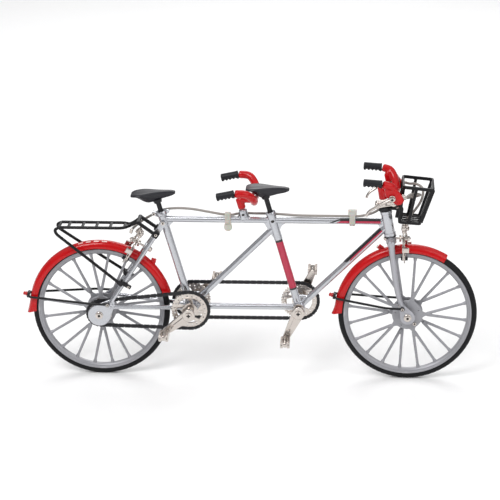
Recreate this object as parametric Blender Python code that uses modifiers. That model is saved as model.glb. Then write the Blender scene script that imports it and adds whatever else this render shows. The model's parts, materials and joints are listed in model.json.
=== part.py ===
"""One-tenth scale display model of a tandem bicycle, as an assembly of separate pieces.

Frame of reference: the origin is on the ground under the rear axle, +X points forwards,
+Y to the rider's left and +Z up.  Lengths are in metres; at() and MM take millimetres.
"""
import math

import bmesh
import bpy
from mathutils import Matrix, Vector

MM = 0.001
GAP = 0.3 * MM


def at(x, y, z):
    """A point given in millimetres."""
    return Vector((x, y, z)) * MM


# ---------------------------------------------------------------- driving dimensions
WHEEL_R = 36.0 * MM
WHEELBASE = 160.0 * MM
RIM_OUTER_R = 33.3 * MM
RIM_INNER_R = 30.7 * MM
RIM_HALF_WIDTH = 1.9 * MM
TYRE_HALF_WIDTH = 2.2 * MM
WHEEL_STEPS = 40
SPOKE_PAIRS = 10
SPOKE_R = 0.5 * MM
HUB_DISC_R = 8.0 * MM
FLANGE_Y = 2.6 * MM
FLANGE_HALF_THICKNESS = 0.55 * MM
SPOKE_ROOT_R = 7.0 * MM
ROOT_SPREAD = 0.2
AXLE_R = 1.0 * MM
AXLE_BORE_R = AXLE_R + GAP

REAR_AXLE = at(0, 0, 36)
FRONT_AXLE = REAR_AXLE + Vector((WHEELBASE, 0, 0))
STOKER_BB = at(47, 0, 38.3)
CAPTAIN_BB = at(103.5, 0, 38.5)
BB_SHELL_R = 3.1 * MM
BB_HALF_WIDTH = 4.2 * MM
SPINDLE_R = 1.3 * MM

TUBE_R = 1.65 * MM
SEAT_TUBE_R = 1.95 * MM
STAY_R = 1.2 * MM
SEAT_POST_R = 1.3 * MM
HEAD_TUBE_R = 2.85 * MM
STEERER_R = 1.5 * MM

STOKER_SEAT_TOP = at(32.3, 0, 90.0)
CAPTAIN_SEAT_TOP = at(88.7, 0, 90.4)
SEAT_BORE_DEPTH = 15.0 * MM
HEAD_TOP = at(147.85, 0, 92.0)
HEAD_BOTTOM = at(150.35, 0, 78.6)
STEERING_AXIS = (HEAD_TOP - HEAD_BOTTOM).normalized()

CRANK_LENGTH = 15.5 * MM
STOKER_CRANK_DEG = 217.0
CAPTAIN_CRANK_DEG = 245.0
RING_R = 9.0 * MM
SPROCKET_R = 5.6 * MM
CHAIN_THICKNESS = 1.3 * MM
RING_HALF_THICKNESS = 0.45 * MM
CHAIN_HALF_WIDTH = 0.65 * MM
DRIVE_PLANE_Y = -6.95 * MM
SYNC_PLANE_Y = 9.3 * MM
PEDAL_SIZE = (5.0 * MM, 9.0 * MM, 3.6 * MM)

DROPOUT_Y = 9.8 * MM
FENDER_R = 38.0 * MM
FENDER_EDGE_R = 34.0 * MM
FENDER_HALF_WIDTH = 3.1 * MM
FENDER_SKIN = 0.45 * MM
STAY_WIRE_R = 0.6 * MM
CABLE_R = 0.55 * MM

BRAKE_ARM_DROP = 10.0

PALETTE = {
    "frame_silver": ((0.78, 0.79, 0.81), 0.28, 0.9),
    "wheel_grey": ((0.42, 0.42, 0.44), 0.5, 0.0),
    "tyre_black": ((0.02, 0.02, 0.022), 0.75, 0.0),
    "gloss_red": ((0.62, 0.012, 0.014), 0.15, 0.0),
    "satin_black": ((0.018, 0.018, 0.02), 0.4, 0.0),
    "nickel": ((0.72, 0.69, 0.65), 0.22, 1.0),
    "saddle_black": ((0.03, 0.03, 0.035), 0.45, 0.0),
    "grip_black": ((0.015, 0.016, 0.018), 0.6, 0.0),
    "cable_grey": ((0.32, 0.29, 0.27), 0.5, 0.0),
    "clip_clear": ((0.85, 0.84, 0.8), 0.35, 0.0),
}

PARTS = "Tandem bicycle"
CUTTERS = "Cutters"


# ---------------------------------------------------------------- scene helpers
def clear_scene():
    for obj in list(bpy.data.objects):
        bpy.data.objects.remove(obj, do_unlink=True)
    for name in (PARTS, CUTTERS):
        collection = bpy.data.collections.new(name)
        bpy.context.scene.collection.children.link(collection)


def material(name):
    found = bpy.data.materials.get(name)
    if found:
        return found
    colour, roughness, metallic = PALETTE[name]
    made = bpy.data.materials.new(name)
    made.use_nodes = True
    shader = made.node_tree.nodes["Principled BSDF"]
    shader.inputs["Base Color"].default_value = (*colour, 1.0)
    shader.inputs["Roughness"].default_value = roughness
    shader.inputs["Metallic"].default_value = metallic
    made.diffuse_color = (*colour, 1.0)
    return made


def add_object(name, data, matrix=None):
    obj = bpy.data.objects.new(name, data)
    bpy.data.collections[PARTS].objects.link(obj)
    if matrix is not None:
        obj.matrix_world = matrix
    return obj


def baked(obj):
    """Replace an object by the welded mesh that it evaluates to, in the same place."""
    bpy.context.view_layer.update()
    evaluated = obj.evaluated_get(bpy.context.evaluated_depsgraph_get())
    mesh = bpy.data.meshes.new_from_object(evaluated)
    matrix = obj.matrix_world.copy()
    name = obj.name
    bpy.data.objects.remove(obj, do_unlink=True)
    mesh.transform(matrix)
    tidy_mesh(mesh)
    return add_object(name, mesh)


def tidy_mesh(mesh):
    bm = bmesh.new()
    bm.from_mesh(mesh)
    bmesh.ops.remove_doubles(bm, verts=bm.verts, dist=2e-6)
    bmesh.ops.dissolve_degenerate(bm, edges=bm.edges, dist=2e-6)
    bmesh.ops.recalc_face_normals(bm, faces=bm.faces)
    bm.to_mesh(mesh)
    bm.free()


def finish(obj, slot, name=None, pivot=None):
    """Give a piece its name, its material, smooth round faces and its origin on its joint."""
    if name:
        obj.name = name
    obj.data.name = obj.name
    obj.data.materials.clear()
    obj.data.materials.append(material(slot))
    obj.data.shade_smooth()
    obj.data.set_sharp_from_angle(angle=math.radians(35))
    if pivot is not None:
        obj.data.transform(Matrix.Translation(-pivot))
        obj.location = pivot
    return obj


# ---------------------------------------------------------------- shape helpers
def smooth_path(points, steps_per_span=4):
    """Points of a Catmull-Rom curve through the given points."""
    ends = [points[0] * 2 - points[1]] + list(points) + [points[-1] * 2 - points[-2]]
    path = []
    for i in range(1, len(ends) - 2):
        before, start, stop, after = ends[i - 1:i + 3]
        for k in range(steps_per_span):
            t = k / steps_per_span
            path.append(0.5 * (2 * start + (stop - before) * t
                               + (2 * before - 5 * start + 4 * stop - after) * t * t
                               + (3 * start - before - 3 * stop + after) * t ** 3))
    path.append(points[-1].copy())
    return path


def tube(name, points, radius, end_radius=None, sides=12, smooth=0, closed=False):
    """A round bar along a line of points, tapering to end_radius when one is given."""
    if smooth:
        points = smooth_path(points, smooth)
    curve = bpy.data.curves.new(name, "CURVE")
    curve.dimensions = "3D"
    curve.bevel_depth = radius
    curve.bevel_resolution = (sides - 4) // 2
    curve.use_fill_caps = True
    spline = curve.splines.new("POLY")
    spline.points.add(len(points) - 1)
    spline.use_cyclic_u = closed
    taper = 1.0 if end_radius is None else end_radius / radius
    for i, point in enumerate(points):
        spline.points[i].co = (*point, 1.0)
        spline.points[i].radius = 1.0 + (taper - 1.0) * i / (len(points) - 1)
    return baked(add_object(name, curve))


def rod(name, start, end, radius, sides=16, end_radius=None):
    """A straight cylinder or cone between two points."""
    axis = end - start
    bm = bmesh.new()
    bmesh.ops.create_cone(bm, cap_ends=True, segments=sides, radius1=radius,
                          radius2=radius if end_radius is None else end_radius,
                          depth=axis.length)
    mesh = bpy.data.meshes.new(name)
    bm.to_mesh(mesh)
    bm.free()
    turn = Vector((0, 0, 1)).rotation_difference(axis).to_matrix().to_4x4()
    mesh.transform(Matrix.Translation((start + end) / 2) @ turn)
    return add_object(name, mesh)


def across(name, centre, y_from, y_to, radius, sides=16):
    """A cylinder along Y at a centre, between two sideways positions."""
    start = Vector((centre.x, y_from, centre.z))
    end = Vector((centre.x, y_to, centre.z))
    return rod(name, start, end, radius, sides)


def block(name, size, centre, turn_y_deg=0.0):
    bm = bmesh.new()
    bmesh.ops.create_cube(bm, size=1.0)
    bmesh.ops.scale(bm, vec=size, verts=bm.verts)
    mesh = bpy.data.meshes.new(name)
    bm.to_mesh(mesh)
    bm.free()
    turn = Matrix.Rotation(math.radians(turn_y_deg), 4, "Y")
    mesh.transform(Matrix.Translation(centre) @ turn)
    return add_object(name, mesh)


def turned(name, profile, centre, steps=32):
    """A ring or disc turned about the Y axis through centre, from (radius, y) points."""
    mesh = bpy.data.meshes.new(name)
    count = len(profile)
    on_axis = profile[0][0] == 0.0
    edges = [(i, i + 1) for i in range(count - 1)]
    if not on_axis:
        edges.append((count - 1, 0))
    mesh.from_pydata([(radius, 0.0, height) for radius, height in profile], edges, [])
    obj = add_object(name, mesh)
    screw = obj.modifiers.new("Turn", "SCREW")
    screw.axis = "Z"
    screw.steps = steps
    screw.render_steps = steps
    screw.use_merge_vertices = True
    screw.merge_threshold = 1e-5
    obj.matrix_world = Matrix.Translation(centre) @ Matrix.Rotation(math.radians(-90), 4, "X")
    return baked(obj)


SIDE_VIEW = Matrix.Rotation(math.radians(90), 4, "X")
END_VIEW = Matrix(((0, 0, 1, 0), (1, 0, 0, 0), (0, 1, 0, 0), (0, 0, 0, 1)))


def plate(name, outlines, thickness, matrix):
    """A flat plate from closed outlines; inner outlines are its holes."""
    curve = bpy.data.curves.new(name, "CURVE")
    curve.dimensions = "2D"
    curve.fill_mode = "BOTH"
    curve.extrude = thickness / 2
    for outline in outlines:
        spline = curve.splines.new("POLY")
        spline.points.add(len(outline) - 1)
        spline.use_cyclic_u = True
        for i, (u, v) in enumerate(outline):
            spline.points[i].co = (u, v, 0.0, 1.0)
    return baked(add_object(name, curve, matrix))


def side_plate(name, outlines, y_centre, thickness):
    """A plate whose outlines are (x, z) points."""
    return plate(name, outlines, thickness, Matrix.Translation((0, y_centre, 0)) @ SIDE_VIEW)


def circle(u, v, radius, count=24):
    step = math.tau / count
    return [(u + radius * math.cos(i * step), v + radius * math.sin(i * step))
            for i in range(count)]


def belt(first, first_r, second, second_r, count=12):
    """The outline of a belt round two circles given by (u, v) centres."""
    du, dv = second[0] - first[0], second[1] - first[1]
    heading = math.atan2(dv, du)
    spread = math.acos((first_r - second_r) / math.hypot(du, dv))
    outline = []
    for i in range(count + 1):
        angle = heading + spread + (math.tau - 2 * spread) * i / count
        outline.append((first[0] + first_r * math.cos(angle), first[1] + first_r * math.sin(angle)))
    for i in range(count + 1):
        angle = heading - spread + 2 * spread * i / count
        outline.append((second[0] + second_r * math.cos(angle),
                        second[1] + second_r * math.sin(angle)))
    return outline


def flat(point):
    """The side-view coordinates of a point."""
    return (point.x, point.z)


def loft(name, rings, closed=False):
    """A closed body through rings that all have the same number of points."""
    bm = bmesh.new()
    rows = [[bm.verts.new(point) for point in ring] for ring in rings]
    size = len(rows[0])
    for r in range(len(rows) - 1 + int(closed)):
        low, high = rows[r], rows[(r + 1) % len(rows)]
        for i in range(size):
            j = (i + 1) % size
            bm.faces.new((low[i], low[j], high[j], high[i]))
    if not closed:
        bm.faces.new(rows[0])
        bm.faces.new(rows[-1])
    mesh = bpy.data.meshes.new(name)
    bm.to_mesh(mesh)
    bm.free()
    tidy_mesh(mesh)
    return add_object(name, mesh)


def boolean(target, tool, operation):
    modifier = target.modifiers.new(operation.title(), "BOOLEAN")
    modifier.operation = operation
    modifier.solver = "EXACT"
    modifier.object = tool
    result = baked(target)
    bpy.data.objects.remove(tool, do_unlink=True)
    return result


def fused(name, pieces):
    """One body out of pieces that run into each other."""
    body = pieces[0]
    for piece in pieces[1:]:
        body = boolean(body, piece, "UNION")
    body.name = name
    return body


def cut(body, tools):
    name = body.name
    for tool in tools:
        body = boolean(body, tool, "DIFFERENCE")
    body.name = name
    return body


def mirrored(points):
    return [Vector((p.x, -p.y, p.z)) for p in points]


def swept_side(side):
    return "right" if side < 0 else "left"


# ---------------------------------------------------------------- wheels
def polar(centre, radius, degrees):
    angle = math.radians(degrees)
    return centre + Vector((radius * math.cos(angle), 0, radius * math.sin(angle)))


def wheel(prefix, centre, first_pair_deg, barrel_right, barrel_left):
    """A moulded wheel: rim, hub with a flange at each side, and spoke pairs to either flange."""
    rim = turned("rim", [(RIM_OUTER_R, -RIM_HALF_WIDTH), (RIM_OUTER_R - 0.5 * MM, 0.0),
                         (RIM_OUTER_R, RIM_HALF_WIDTH), (RIM_OUTER_R - 1.2 * MM, RIM_HALF_WIDTH),
                         (RIM_INNER_R, 1.0 * MM), (RIM_INNER_R, -1.0 * MM),
                         (RIM_OUTER_R - 1.2 * MM, -RIM_HALF_WIDTH)], centre, WHEEL_STEPS)
    pieces = [rim]
    spoke_lean = 180.0 / SPOKE_PAIRS / 2
    for pair in range(SPOKE_PAIRS):
        middle = first_pair_deg + pair * 360.0 / SPOKE_PAIRS
        side = -1 if pair % 2 == 0 else 1
        offset = Vector((0, side * FLANGE_Y, 0))
        for lean in (-spoke_lean, spoke_lean):
            root = polar(centre, SPOKE_ROOT_R, middle + lean * ROOT_SPREAD) + offset
            tip = polar(centre, RIM_INNER_R + 0.6 * MM, middle + lean)
            pieces.append(rod("spoke", root, tip, SPOKE_R, 6))
    for side in (-1, 1):
        pieces.append(across("flange", centre, side * (FLANGE_Y - FLANGE_HALF_THICKNESS),
                             side * (FLANGE_Y + FLANGE_HALF_THICKNESS), HUB_DISC_R, 40))
    pieces.append(across("barrel", centre, barrel_right, barrel_left, 2.5 * MM, 16))
    body = cut(fused(prefix + "_wheel", pieces),
               [across("bore", centre, -20 * MM, 20 * MM, AXLE_BORE_R, 12)])
    finish(body, "wheel_grey", pivot=centre)
    tyre_inner = RIM_OUTER_R + GAP
    tyre = turned(prefix + "_tyre", [(tyre_inner, -1.8 * MM), (tyre_inner, 1.8 * MM),
                                     (tyre_inner + 0.9 * MM, TYRE_HALF_WIDTH),
                                     (WHEEL_R - 0.7 * MM, 1.8 * MM), (WHEEL_R, 0.8 * MM),
                                     (WHEEL_R, -0.8 * MM), (WHEEL_R - 0.7 * MM, -1.8 * MM),
                                     (tyre_inner + 0.9 * MM, -TYRE_HALF_WIDTH)],
                  centre, WHEEL_STEPS)
    set_flat_down(tyre, centre)
    finish(tyre, "tyre_black", pivot=centre)


def set_flat_down(tyre, centre):
    """Turn the tyre by half a step, so that a facet and not a ridge meets the ground."""
    turn = Matrix.Rotation(math.pi / WHEEL_STEPS, 4, "Y")
    reach = 1.0 / math.cos(math.pi / WHEEL_STEPS)
    grow = Matrix.Diagonal((reach, 1.0, reach, 1.0))
    shift = Matrix.Translation(centre)
    tyre.data.transform(shift @ grow @ turn @ shift.inverted())


def axle(name, centre, half_length):
    """A screw through the hub, with a round head at each end."""
    head = 1.7 * MM
    profile = [(0.0, -half_length - 0.8 * MM), (head, -half_length - 0.8 * MM),
               (head, -half_length), (AXLE_R, -half_length), (AXLE_R, half_length),
               (head, half_length), (head, half_length + 0.8 * MM), (0.0, half_length + 0.8 * MM)]
    return finish(turned(name, profile, centre, 16), "nickel")


def rear_sprocket():
    """The toothed disc on the right end of the rear hub."""
    outer = DRIVE_PLANE_Y - RING_HALF_THICKNESS
    inner = DRIVE_PLANE_Y + RING_HALF_THICKNESS
    disc = across("rear_sprocket", REAR_AXLE, outer, inner, SPROCKET_R, 32)
    boss = across("boss", REAR_AXLE, outer - 1.3 * MM, outer + 0.2 * MM, 2.2 * MM)
    bore = across("bore", REAR_AXLE, -20 * MM, 0, AXLE_BORE_R, 12)
    finish(cut(fused("rear_sprocket", [disc, boss]), [bore]), "nickel", pivot=REAR_AXLE)


# ---------------------------------------------------------------- frame
def frame():
    """The one-piece cast frame."""
    seat_dir_s = (STOKER_BB - STOKER_SEAT_TOP).normalized()
    seat_dir_c = (CAPTAIN_BB - CAPTAIN_SEAT_TOP).normalized()
    top_z = 86.0
    pieces = [
        rod("head", HEAD_BOTTOM, HEAD_TOP, HEAD_TUBE_R, 20),
        rod("top", at(33.5, 0, top_z), at(148.2, 0, top_z), TUBE_R, 12),
        rod("down", at(148.6, 0, 83.9), CAPTAIN_BB, TUBE_R, 12),
        rod("seat_c", CAPTAIN_SEAT_TOP, CAPTAIN_BB, SEAT_TUBE_R, 16),
        rod("collar_c", CAPTAIN_SEAT_TOP, CAPTAIN_SEAT_TOP + seat_dir_c * 6 * MM, 2.35 * MM, 16),
        rod("seat_s", STOKER_SEAT_TOP, STOKER_BB, SEAT_TUBE_R, 16),
        rod("collar_s", STOKER_SEAT_TOP, STOKER_SEAT_TOP + seat_dir_s * 3 * MM, 2.5 * MM, 16),
        rod("boom", STOKER_BB, CAPTAIN_BB, 1.5 * MM, 12),
        rod("lateral", at(91.0, 0, 82.4), STOKER_BB, 1.5 * MM, 12),
        across("shell_s", STOKER_BB, -BB_HALF_WIDTH, BB_HALF_WIDTH, BB_SHELL_R, 20),
        across("shell_c", CAPTAIN_BB, -BB_HALF_WIDTH, BB_HALF_WIDTH, BB_SHELL_R, 20),
        rod("socket", at(74.4, 0, 91.6), at(75.6, 0, 86.4), 2.1 * MM, 16),
        across("stay_bridge", BRIDGE, -4.6 * MM, 4.6 * MM, 0.9 * MM, 10),
    ]
    for side in (-1, 1):
        seat_stay_top = at(33.6, side * 1.8, 84.0)
        seat_stay_low = at(6.2, side * 9.8, 43.2)
        pieces.append(rod("seat_stay", seat_stay_top, seat_stay_low, STAY_R, 10))
        pieces.append(rod("chain_stay", at(5.6, side * 9.8, 40.6), at(45.5, side * 3.0, 38.4),
                          STAY_R, 10))
        disc_r = 6.0 * MM if side < 0 else 4.0 * MM
        outline = belt(flat(REAR_AXLE), disc_r, (6.2 * MM, 42.6 * MM), 2.0 * MM)
        pieces.append(side_plate("dropout", [outline], side * DROPOUT_Y, 1.1 * MM))
    body = fused("frame", pieces)
    bore_s = STOKER_SEAT_TOP + seat_dir_s * SEAT_BORE_DEPTH
    bore_c = CAPTAIN_SEAT_TOP + seat_dir_c * SEAT_BORE_DEPTH
    tools = [
        rod("bore", STOKER_SEAT_TOP - seat_dir_s * MM, bore_s, SEAT_POST_R + GAP, 12),
        rod("bore", CAPTAIN_SEAT_TOP - seat_dir_c * MM, bore_c, SEAT_POST_R + GAP, 12),
        rod("bore", HEAD_BOTTOM - STEERING_AXIS * 2 * MM, HEAD_TOP + STEERING_AXIS * 2 * MM,
            STEERER_R + GAP, 16),
        across("bore", STOKER_BB, -8 * MM, 8 * MM, SPINDLE_R + GAP, 12),
        across("bore", CAPTAIN_BB, -8 * MM, 8 * MM, SPINDLE_R + GAP, 12),
        across("bore", REAR_AXLE, -15 * MM, 15 * MM, AXLE_BORE_R, 12),
        rod("bore", BRIDGE - REAR_BRAKE_OUT * 3 * MM, BRIDGE + REAR_BRAKE_OUT * 3 * MM,
            BRAKE_BOLT_R + 0.2 * MM, 10),
    ]
    finish(cut(body, tools), "frame_silver")


BRIDGE = at(23.9, 0, 70.5)
REAR_BRAKE_OUT = Vector((-0.866, 0, 0.5))
REAR_BRAKE_UP = Vector((0.5, 0, 0.866))
REAR_BRAKE_PIVOT = at(19.6, 0, 73.0)
FRONT_BRAKE_PIVOT = at(156.6, 0, 77.0)
FRONT_BRAKE_OUT = Vector((1, 0, 0))
FRONT_BRAKE_UP = Vector((0, 0, 1))
BRAKE_BOLT_R = 0.55 * MM


# ---------------------------------------------------------------- fork and steering
def fork():
    """Steerer, sloping crown and two raked blades that end in round bosses."""
    crown_top = HEAD_BOTTOM - STEERING_AXIS * 1.0 * MM
    crown_low = HEAD_BOTTOM - STEERING_AXIS * 4.6 * MM
    pieces = [rod("fork", crown_low, crown_top, 2.6 * MM, 20),
              rod("steerer", crown_top - STEERING_AXIS * MM, HEAD_TOP + STEERING_AXIS * 1.4 * MM,
                  STEERER_R, 16)]
    shoulder = crown_low + STEERING_AXIS * 1.9 * MM
    pieces.append(rod("crown", shoulder + at(0, -5.6, 0), shoulder + at(0, 5.6, 0), 1.85 * MM, 12))
    for side in (-1, 1):
        line = [shoulder + at(-0.1, side * 5.6, 0.8), at(152.0, side * 5.7, 66),
                at(153.4, side * 5.9, 56), at(155.0, side * 6.2, 48), at(157.4, side * 6.5, 42),
                at(159.0, side * 6.5, 38.6)]
        pieces.append(tube("blade", line, 1.9 * MM, 1.0 * MM, 10, smooth=3))
        pieces.append(across("boss", FRONT_AXLE, side * 5.6 * MM, side * 7.4 * MM, 3.9 * MM, 20))
    body = fused("fork", pieces)
    bolt_line = Vector((1, 0, 0))
    finish(cut(body, [across("bore", FRONT_AXLE, -15 * MM, 15 * MM, AXLE_BORE_R, 12),
                      rod("bore", FRONT_BRAKE_PIVOT - bolt_line * 9 * MM, FRONT_BRAKE_PIVOT,
                          BRAKE_BOLT_R + 0.2 * MM, 10)]),
           "wheel_grey", pivot=HEAD_BOTTOM)


def on_steering_axis(height):
    """The point of the steering axis at a height."""
    return HEAD_BOTTOM + STEERING_AXIS * ((height - HEAD_BOTTOM.z) / STEERING_AXIS.z)


def ring_on_steering(name, low, high, inner, outer, slot):
    body = rod(name, on_steering_axis(low), on_steering_axis(high), outer, 20)
    overrun = STEERING_AXIS * MM
    bore = rod("bore", on_steering_axis(low) - overrun, on_steering_axis(high) + overrun, inner, 16)
    finish(cut(body, [bore]), slot, name=name, pivot=HEAD_BOTTOM)


STEM_LOW = 94.3 * MM
STEM_HIGH = 97.2 * MM
BAR_HALF_WIDTH = 15.0
BAR_R = 2.0 * MM
GRIP_R = 2.0 * MM


def captain_stem():
    """The silver clamp block on top of the steerer."""
    centre = on_steering_axis((STEM_LOW + STEM_HIGH) / 2) + at(0.6, 0, 0)
    body = block("captain_stem", (9.5 * MM, 5.6 * MM, STEM_HIGH - STEM_LOW), centre, -10.5)
    finish(body, "nickel", pivot=HEAD_BOTTOM)


def handlebar(name, post_low, post_high, post_r, half_bar, lugs):
    """A cast bar: upright post, forward neck and one bent bar that ends at both grips."""
    whole = mirrored(half_bar[:0:-1]) + half_bar
    pieces = [tube("bar", whole, BAR_R, sides=10, smooth=3),
              rod("post", post_low, post_high, post_r, 16),
              rod("neck", post_high, half_bar[0], post_r * 0.92, 14)]
    pieces[1:1] = lugs
    return fused(name, pieces)


def captain_bar():
    half_bar = [at(152.5, 0, 100.2), at(153.0, -5.0, 101.0), at(152.7, -10.5, 104.6),
                at(150.2, -14.2, 109.0), at(146.0, -BAR_HALF_WIDTH, 110.5)]
    lugs = []
    for side in (-1, 1):
        outline = belt((149.6 * MM, 106.0 * MM), 3.4 * MM, (154.2 * MM, 102.2 * MM), 3.2 * MM, 8)
        lugs.append(side_plate("lug", [outline], side * 13.6 * MM, 3.4 * MM))
    body = handlebar("captain_handlebar", on_steering_axis(STEM_HIGH + 0.9 * MM),
                     on_steering_axis(104.5 * MM), 2.2 * MM, half_bar, lugs)
    screw_holes = [across("bore", LEVER_PIVOT, side * 11 * MM, side * 20 * MM, 0.9 * MM, 10)
                   for side in (-1, 1)]
    finish(cut(body, screw_holes), "gloss_red", pivot=HEAD_BOTTOM)


def grips(prefix, bar_end, rear_end, pivot=None):
    """A finger-notched grip beyond each end of a bar, for the right and the left hand."""
    for side in (-1, 1):
        front = Vector((bar_end.x, side * abs(bar_end.y), bar_end.z))
        back = Vector((rear_end.x, side * abs(rear_end.y), rear_end.z))
        direction = (back - front).normalized()
        start = front + direction * 2 * GAP
        rings = []
        across_dir = Vector((0, 1, 0))
        up_dir = direction.cross(across_dir).normalized()
        if up_dir.z < 0:
            up_dir = -up_dir
        for k in range(9):
            t = k / 8
            notch = 0.35 * MM * (0.5 + 0.5 * math.cos(t * 4 * math.tau)) if 0 < k < 8 else 0.35 * MM
            centre = start + (back - start) * t
            ring = []
            for i in range(12):
                angle = math.tau * i / 12
                radius = GRIP_R - (notch if math.sin(angle) < -0.4 else 0.0)
                ring.append(centre + across_dir * radius * 0.9 * math.cos(angle)
                            + up_dir * radius * math.sin(angle))
            rings.append(ring)
        name = prefix + "_grip_" + swept_side(side)
        finish(loft(name, rings), "grip_black", pivot=pivot)


LEVER_PIVOT = at(150.8, 0, 103.4)
LEVER_Y = 16.6 * MM


def brake_levers():
    """A hooked lever and its pivot screw on the outer face of each lug of the bar."""
    for side in (-1, 1):
        pivot = LEVER_PIVOT + Vector((0, side * LEVER_Y, 0))
        eye = across("eye", pivot, side * (LEVER_Y - 0.7 * MM), side * (LEVER_Y + 0.7 * MM),
                     1.7 * MM, 16)
        line = [pivot, pivot + at(-3.6, 0, -1.9), pivot + at(-8.0, -side * 0.4, -4.6),
                pivot + at(-11.4, -side * 0.8, -7.0), pivot + at(-12.9, -side * 1.0, -9.4)]
        blade = tube("blade", line, 0.7 * MM, 0.6 * MM, 8, smooth=3)
        body = cut(fused("lever", [eye, blade]),
                   [across("bore", pivot, side * 10 * MM, side * 22 * MM, 0.85 * MM, 10)])
        finish(body, "nickel", name="brake_lever_" + swept_side(side), pivot=pivot)
        screw = fused("lever_screw_" + swept_side(side), [
            across("shank", pivot, side * 12.6 * MM, side * (LEVER_Y + 1.1 * MM), 0.55 * MM, 10),
            across("head", pivot, side * (LEVER_Y + 1.0 * MM), side * (LEVER_Y + 1.8 * MM),
                   1.4 * MM, 16)])
        finish(screw, "nickel")


# ---------------------------------------------------------------- basket
BASKET_TOP = ((156.7, 107.4), (171.6, 105.9))
BASKET_FLOOR = ((154.7, 88.0), (165.4, 87.2))
BASKET_TOP_HALF = 9.4
BASKET_FLOOR_HALF = 6.0


def basket():
    """An open basket of square rim, corner and side posts, and floor bars that run fore and aft."""
    (top_back, top_front), (low_back, low_front) = BASKET_TOP, BASKET_FLOOR
    corners_top = [at(x, y, z) for (x, z), y in
                   ((top_back, -BASKET_TOP_HALF), (top_front, -BASKET_TOP_HALF),
                    (top_front, BASKET_TOP_HALF), (top_back, BASKET_TOP_HALF))]
    corners_low = [at(x, y, z) for (x, z), y in
                   ((low_back, -BASKET_FLOOR_HALF), (low_front, -BASKET_FLOOR_HALF),
                    (low_front, BASKET_FLOOR_HALF), (low_back, BASKET_FLOOR_HALF))]
    rim_r = 0.85 * MM
    wire_r = 0.55 * MM
    pieces = [tube("rim", corners_top, rim_r, sides=8, closed=True),
              tube("base", corners_low, 0.7 * MM, sides=8, closed=True)]
    for top, low in zip(corners_top, corners_low):
        pieces.append(rod("post", top, low, 0.75 * MM, 8))
    for first, second in ((0, 1), (1, 2), (2, 3)):
        top = corners_top[first].lerp(corners_top[second], 0.42)
        low = corners_low[first].lerp(corners_low[second], 0.42)
        pieces.append(rod("post", top, low, 0.65 * MM, 8))
    for y in (-3.6, -1.6, 1.6, 3.6):
        pieces.append(rod("bar", at(low_back[0], y, low_back[1]), at(low_front[0], y, low_front[1]),
                          wire_r, 6))
    finish(fused("basket", pieces), "satin_black", pivot=HEAD_BOTTOM)


def basket_bracket():
    """The black plate clamped on the head tube that carries the basket."""
    low = on_steering_axis(92.35 * MM)
    high = on_steering_axis(93.95 * MM)
    ring = rod("basket_bracket", low, high, 3.3 * MM, 20)
    arm = block("arm", (5.2 * MM, 4.4 * MM, 1.0 * MM), at(150.9, 0, 93.5))
    body = cut(fused("basket_bracket", [ring, arm]),
               [rod("bore", low - STEERING_AXIS * MM, high + STEERING_AXIS * MM, STEERER_R + GAP, 16)])
    finish(body, "satin_black", pivot=HEAD_BOTTOM)


# ---------------------------------------------------------------- fenders and their stays
def fender(prefix, centre, from_deg, to_deg, tab_deg, pivot=None):
    """An arched mudguard with a ridge along its middle and one small mounting tab."""
    half = FENDER_HALF_WIDTH
    outer = [(-half, FENDER_EDGE_R), (-half * 0.95, FENDER_R - 1.9 * MM),
             (-half * 0.55, FENDER_R - 0.55 * MM), (0.0, FENDER_R),
             (half * 0.55, FENDER_R - 0.55 * MM), (half * 0.95, FENDER_R - 1.9 * MM),
             (half, FENDER_EDGE_R)]
    last = len(outer) - 1
    inner = [(y * (1 - FENDER_SKIN / half), radius - (FENDER_SKIN if 0 < i < last else 0.0))
             for i, (y, radius) in enumerate(outer)]
    section = outer + inner[::-1]
    steps = max(12, round((to_deg - from_deg) / 7))
    rings = []
    for k in range(steps + 1):
        angle = math.radians(from_deg + (to_deg - from_deg) * k / steps)
        rings.append([centre + Vector((r * math.cos(angle), y, r * math.sin(angle)))
                      for y, r in section])
    shell = loft(prefix + "_fender", rings)
    root = polar(centre, FENDER_R - 0.5 * MM, tab_deg)
    tip = polar(centre, FENDER_R + 1.9 * MM, tab_deg + 2.0)
    tab = rod("tab", root, tip, 1.0 * MM, 8)
    finish(fused(prefix + "_fender", [shell, tab]), "gloss_red", pivot=pivot)


def fender_stay(prefix, centre, back_deg, front_point, pivot=None):
    """A wire round the back of the mudguard, with a leg to each side of the axle."""
    back = polar(centre, FENDER_R + 1.0 * MM, back_deg)
    corner = polar(centre, FENDER_R - 0.2 * MM, back_deg) + at(0, -4.1, 0)
    near = [back, back + at(0.3, -2.6, 0), corner, front_point - at(8.6, 0, -0.4), front_point]
    whole = mirrored(near[:0:-1]) + near
    body = tube(prefix + "_fender_stay", whole, STAY_WIRE_R, sides=8)
    finish(body, "satin_black", pivot=pivot)


def fender_knob(prefix, centre, back_deg, pivot=None):
    inner = polar(centre, FENDER_R + 1.0 * MM + STAY_WIRE_R + 0.3 * MM, back_deg)
    outer = polar(centre, FENDER_R + 4.0 * MM, back_deg)
    finish(rod(prefix + "_fender_knob", inner, outer, 0.9 * MM, 12), "gloss_red", pivot=pivot)


# ---------------------------------------------------------------- rack
RACK_Z = 82.0
RACK_HALF = 4.5
RACK_BARS_X = (-13.4, -6.4, 0.6, 7.6)


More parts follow.
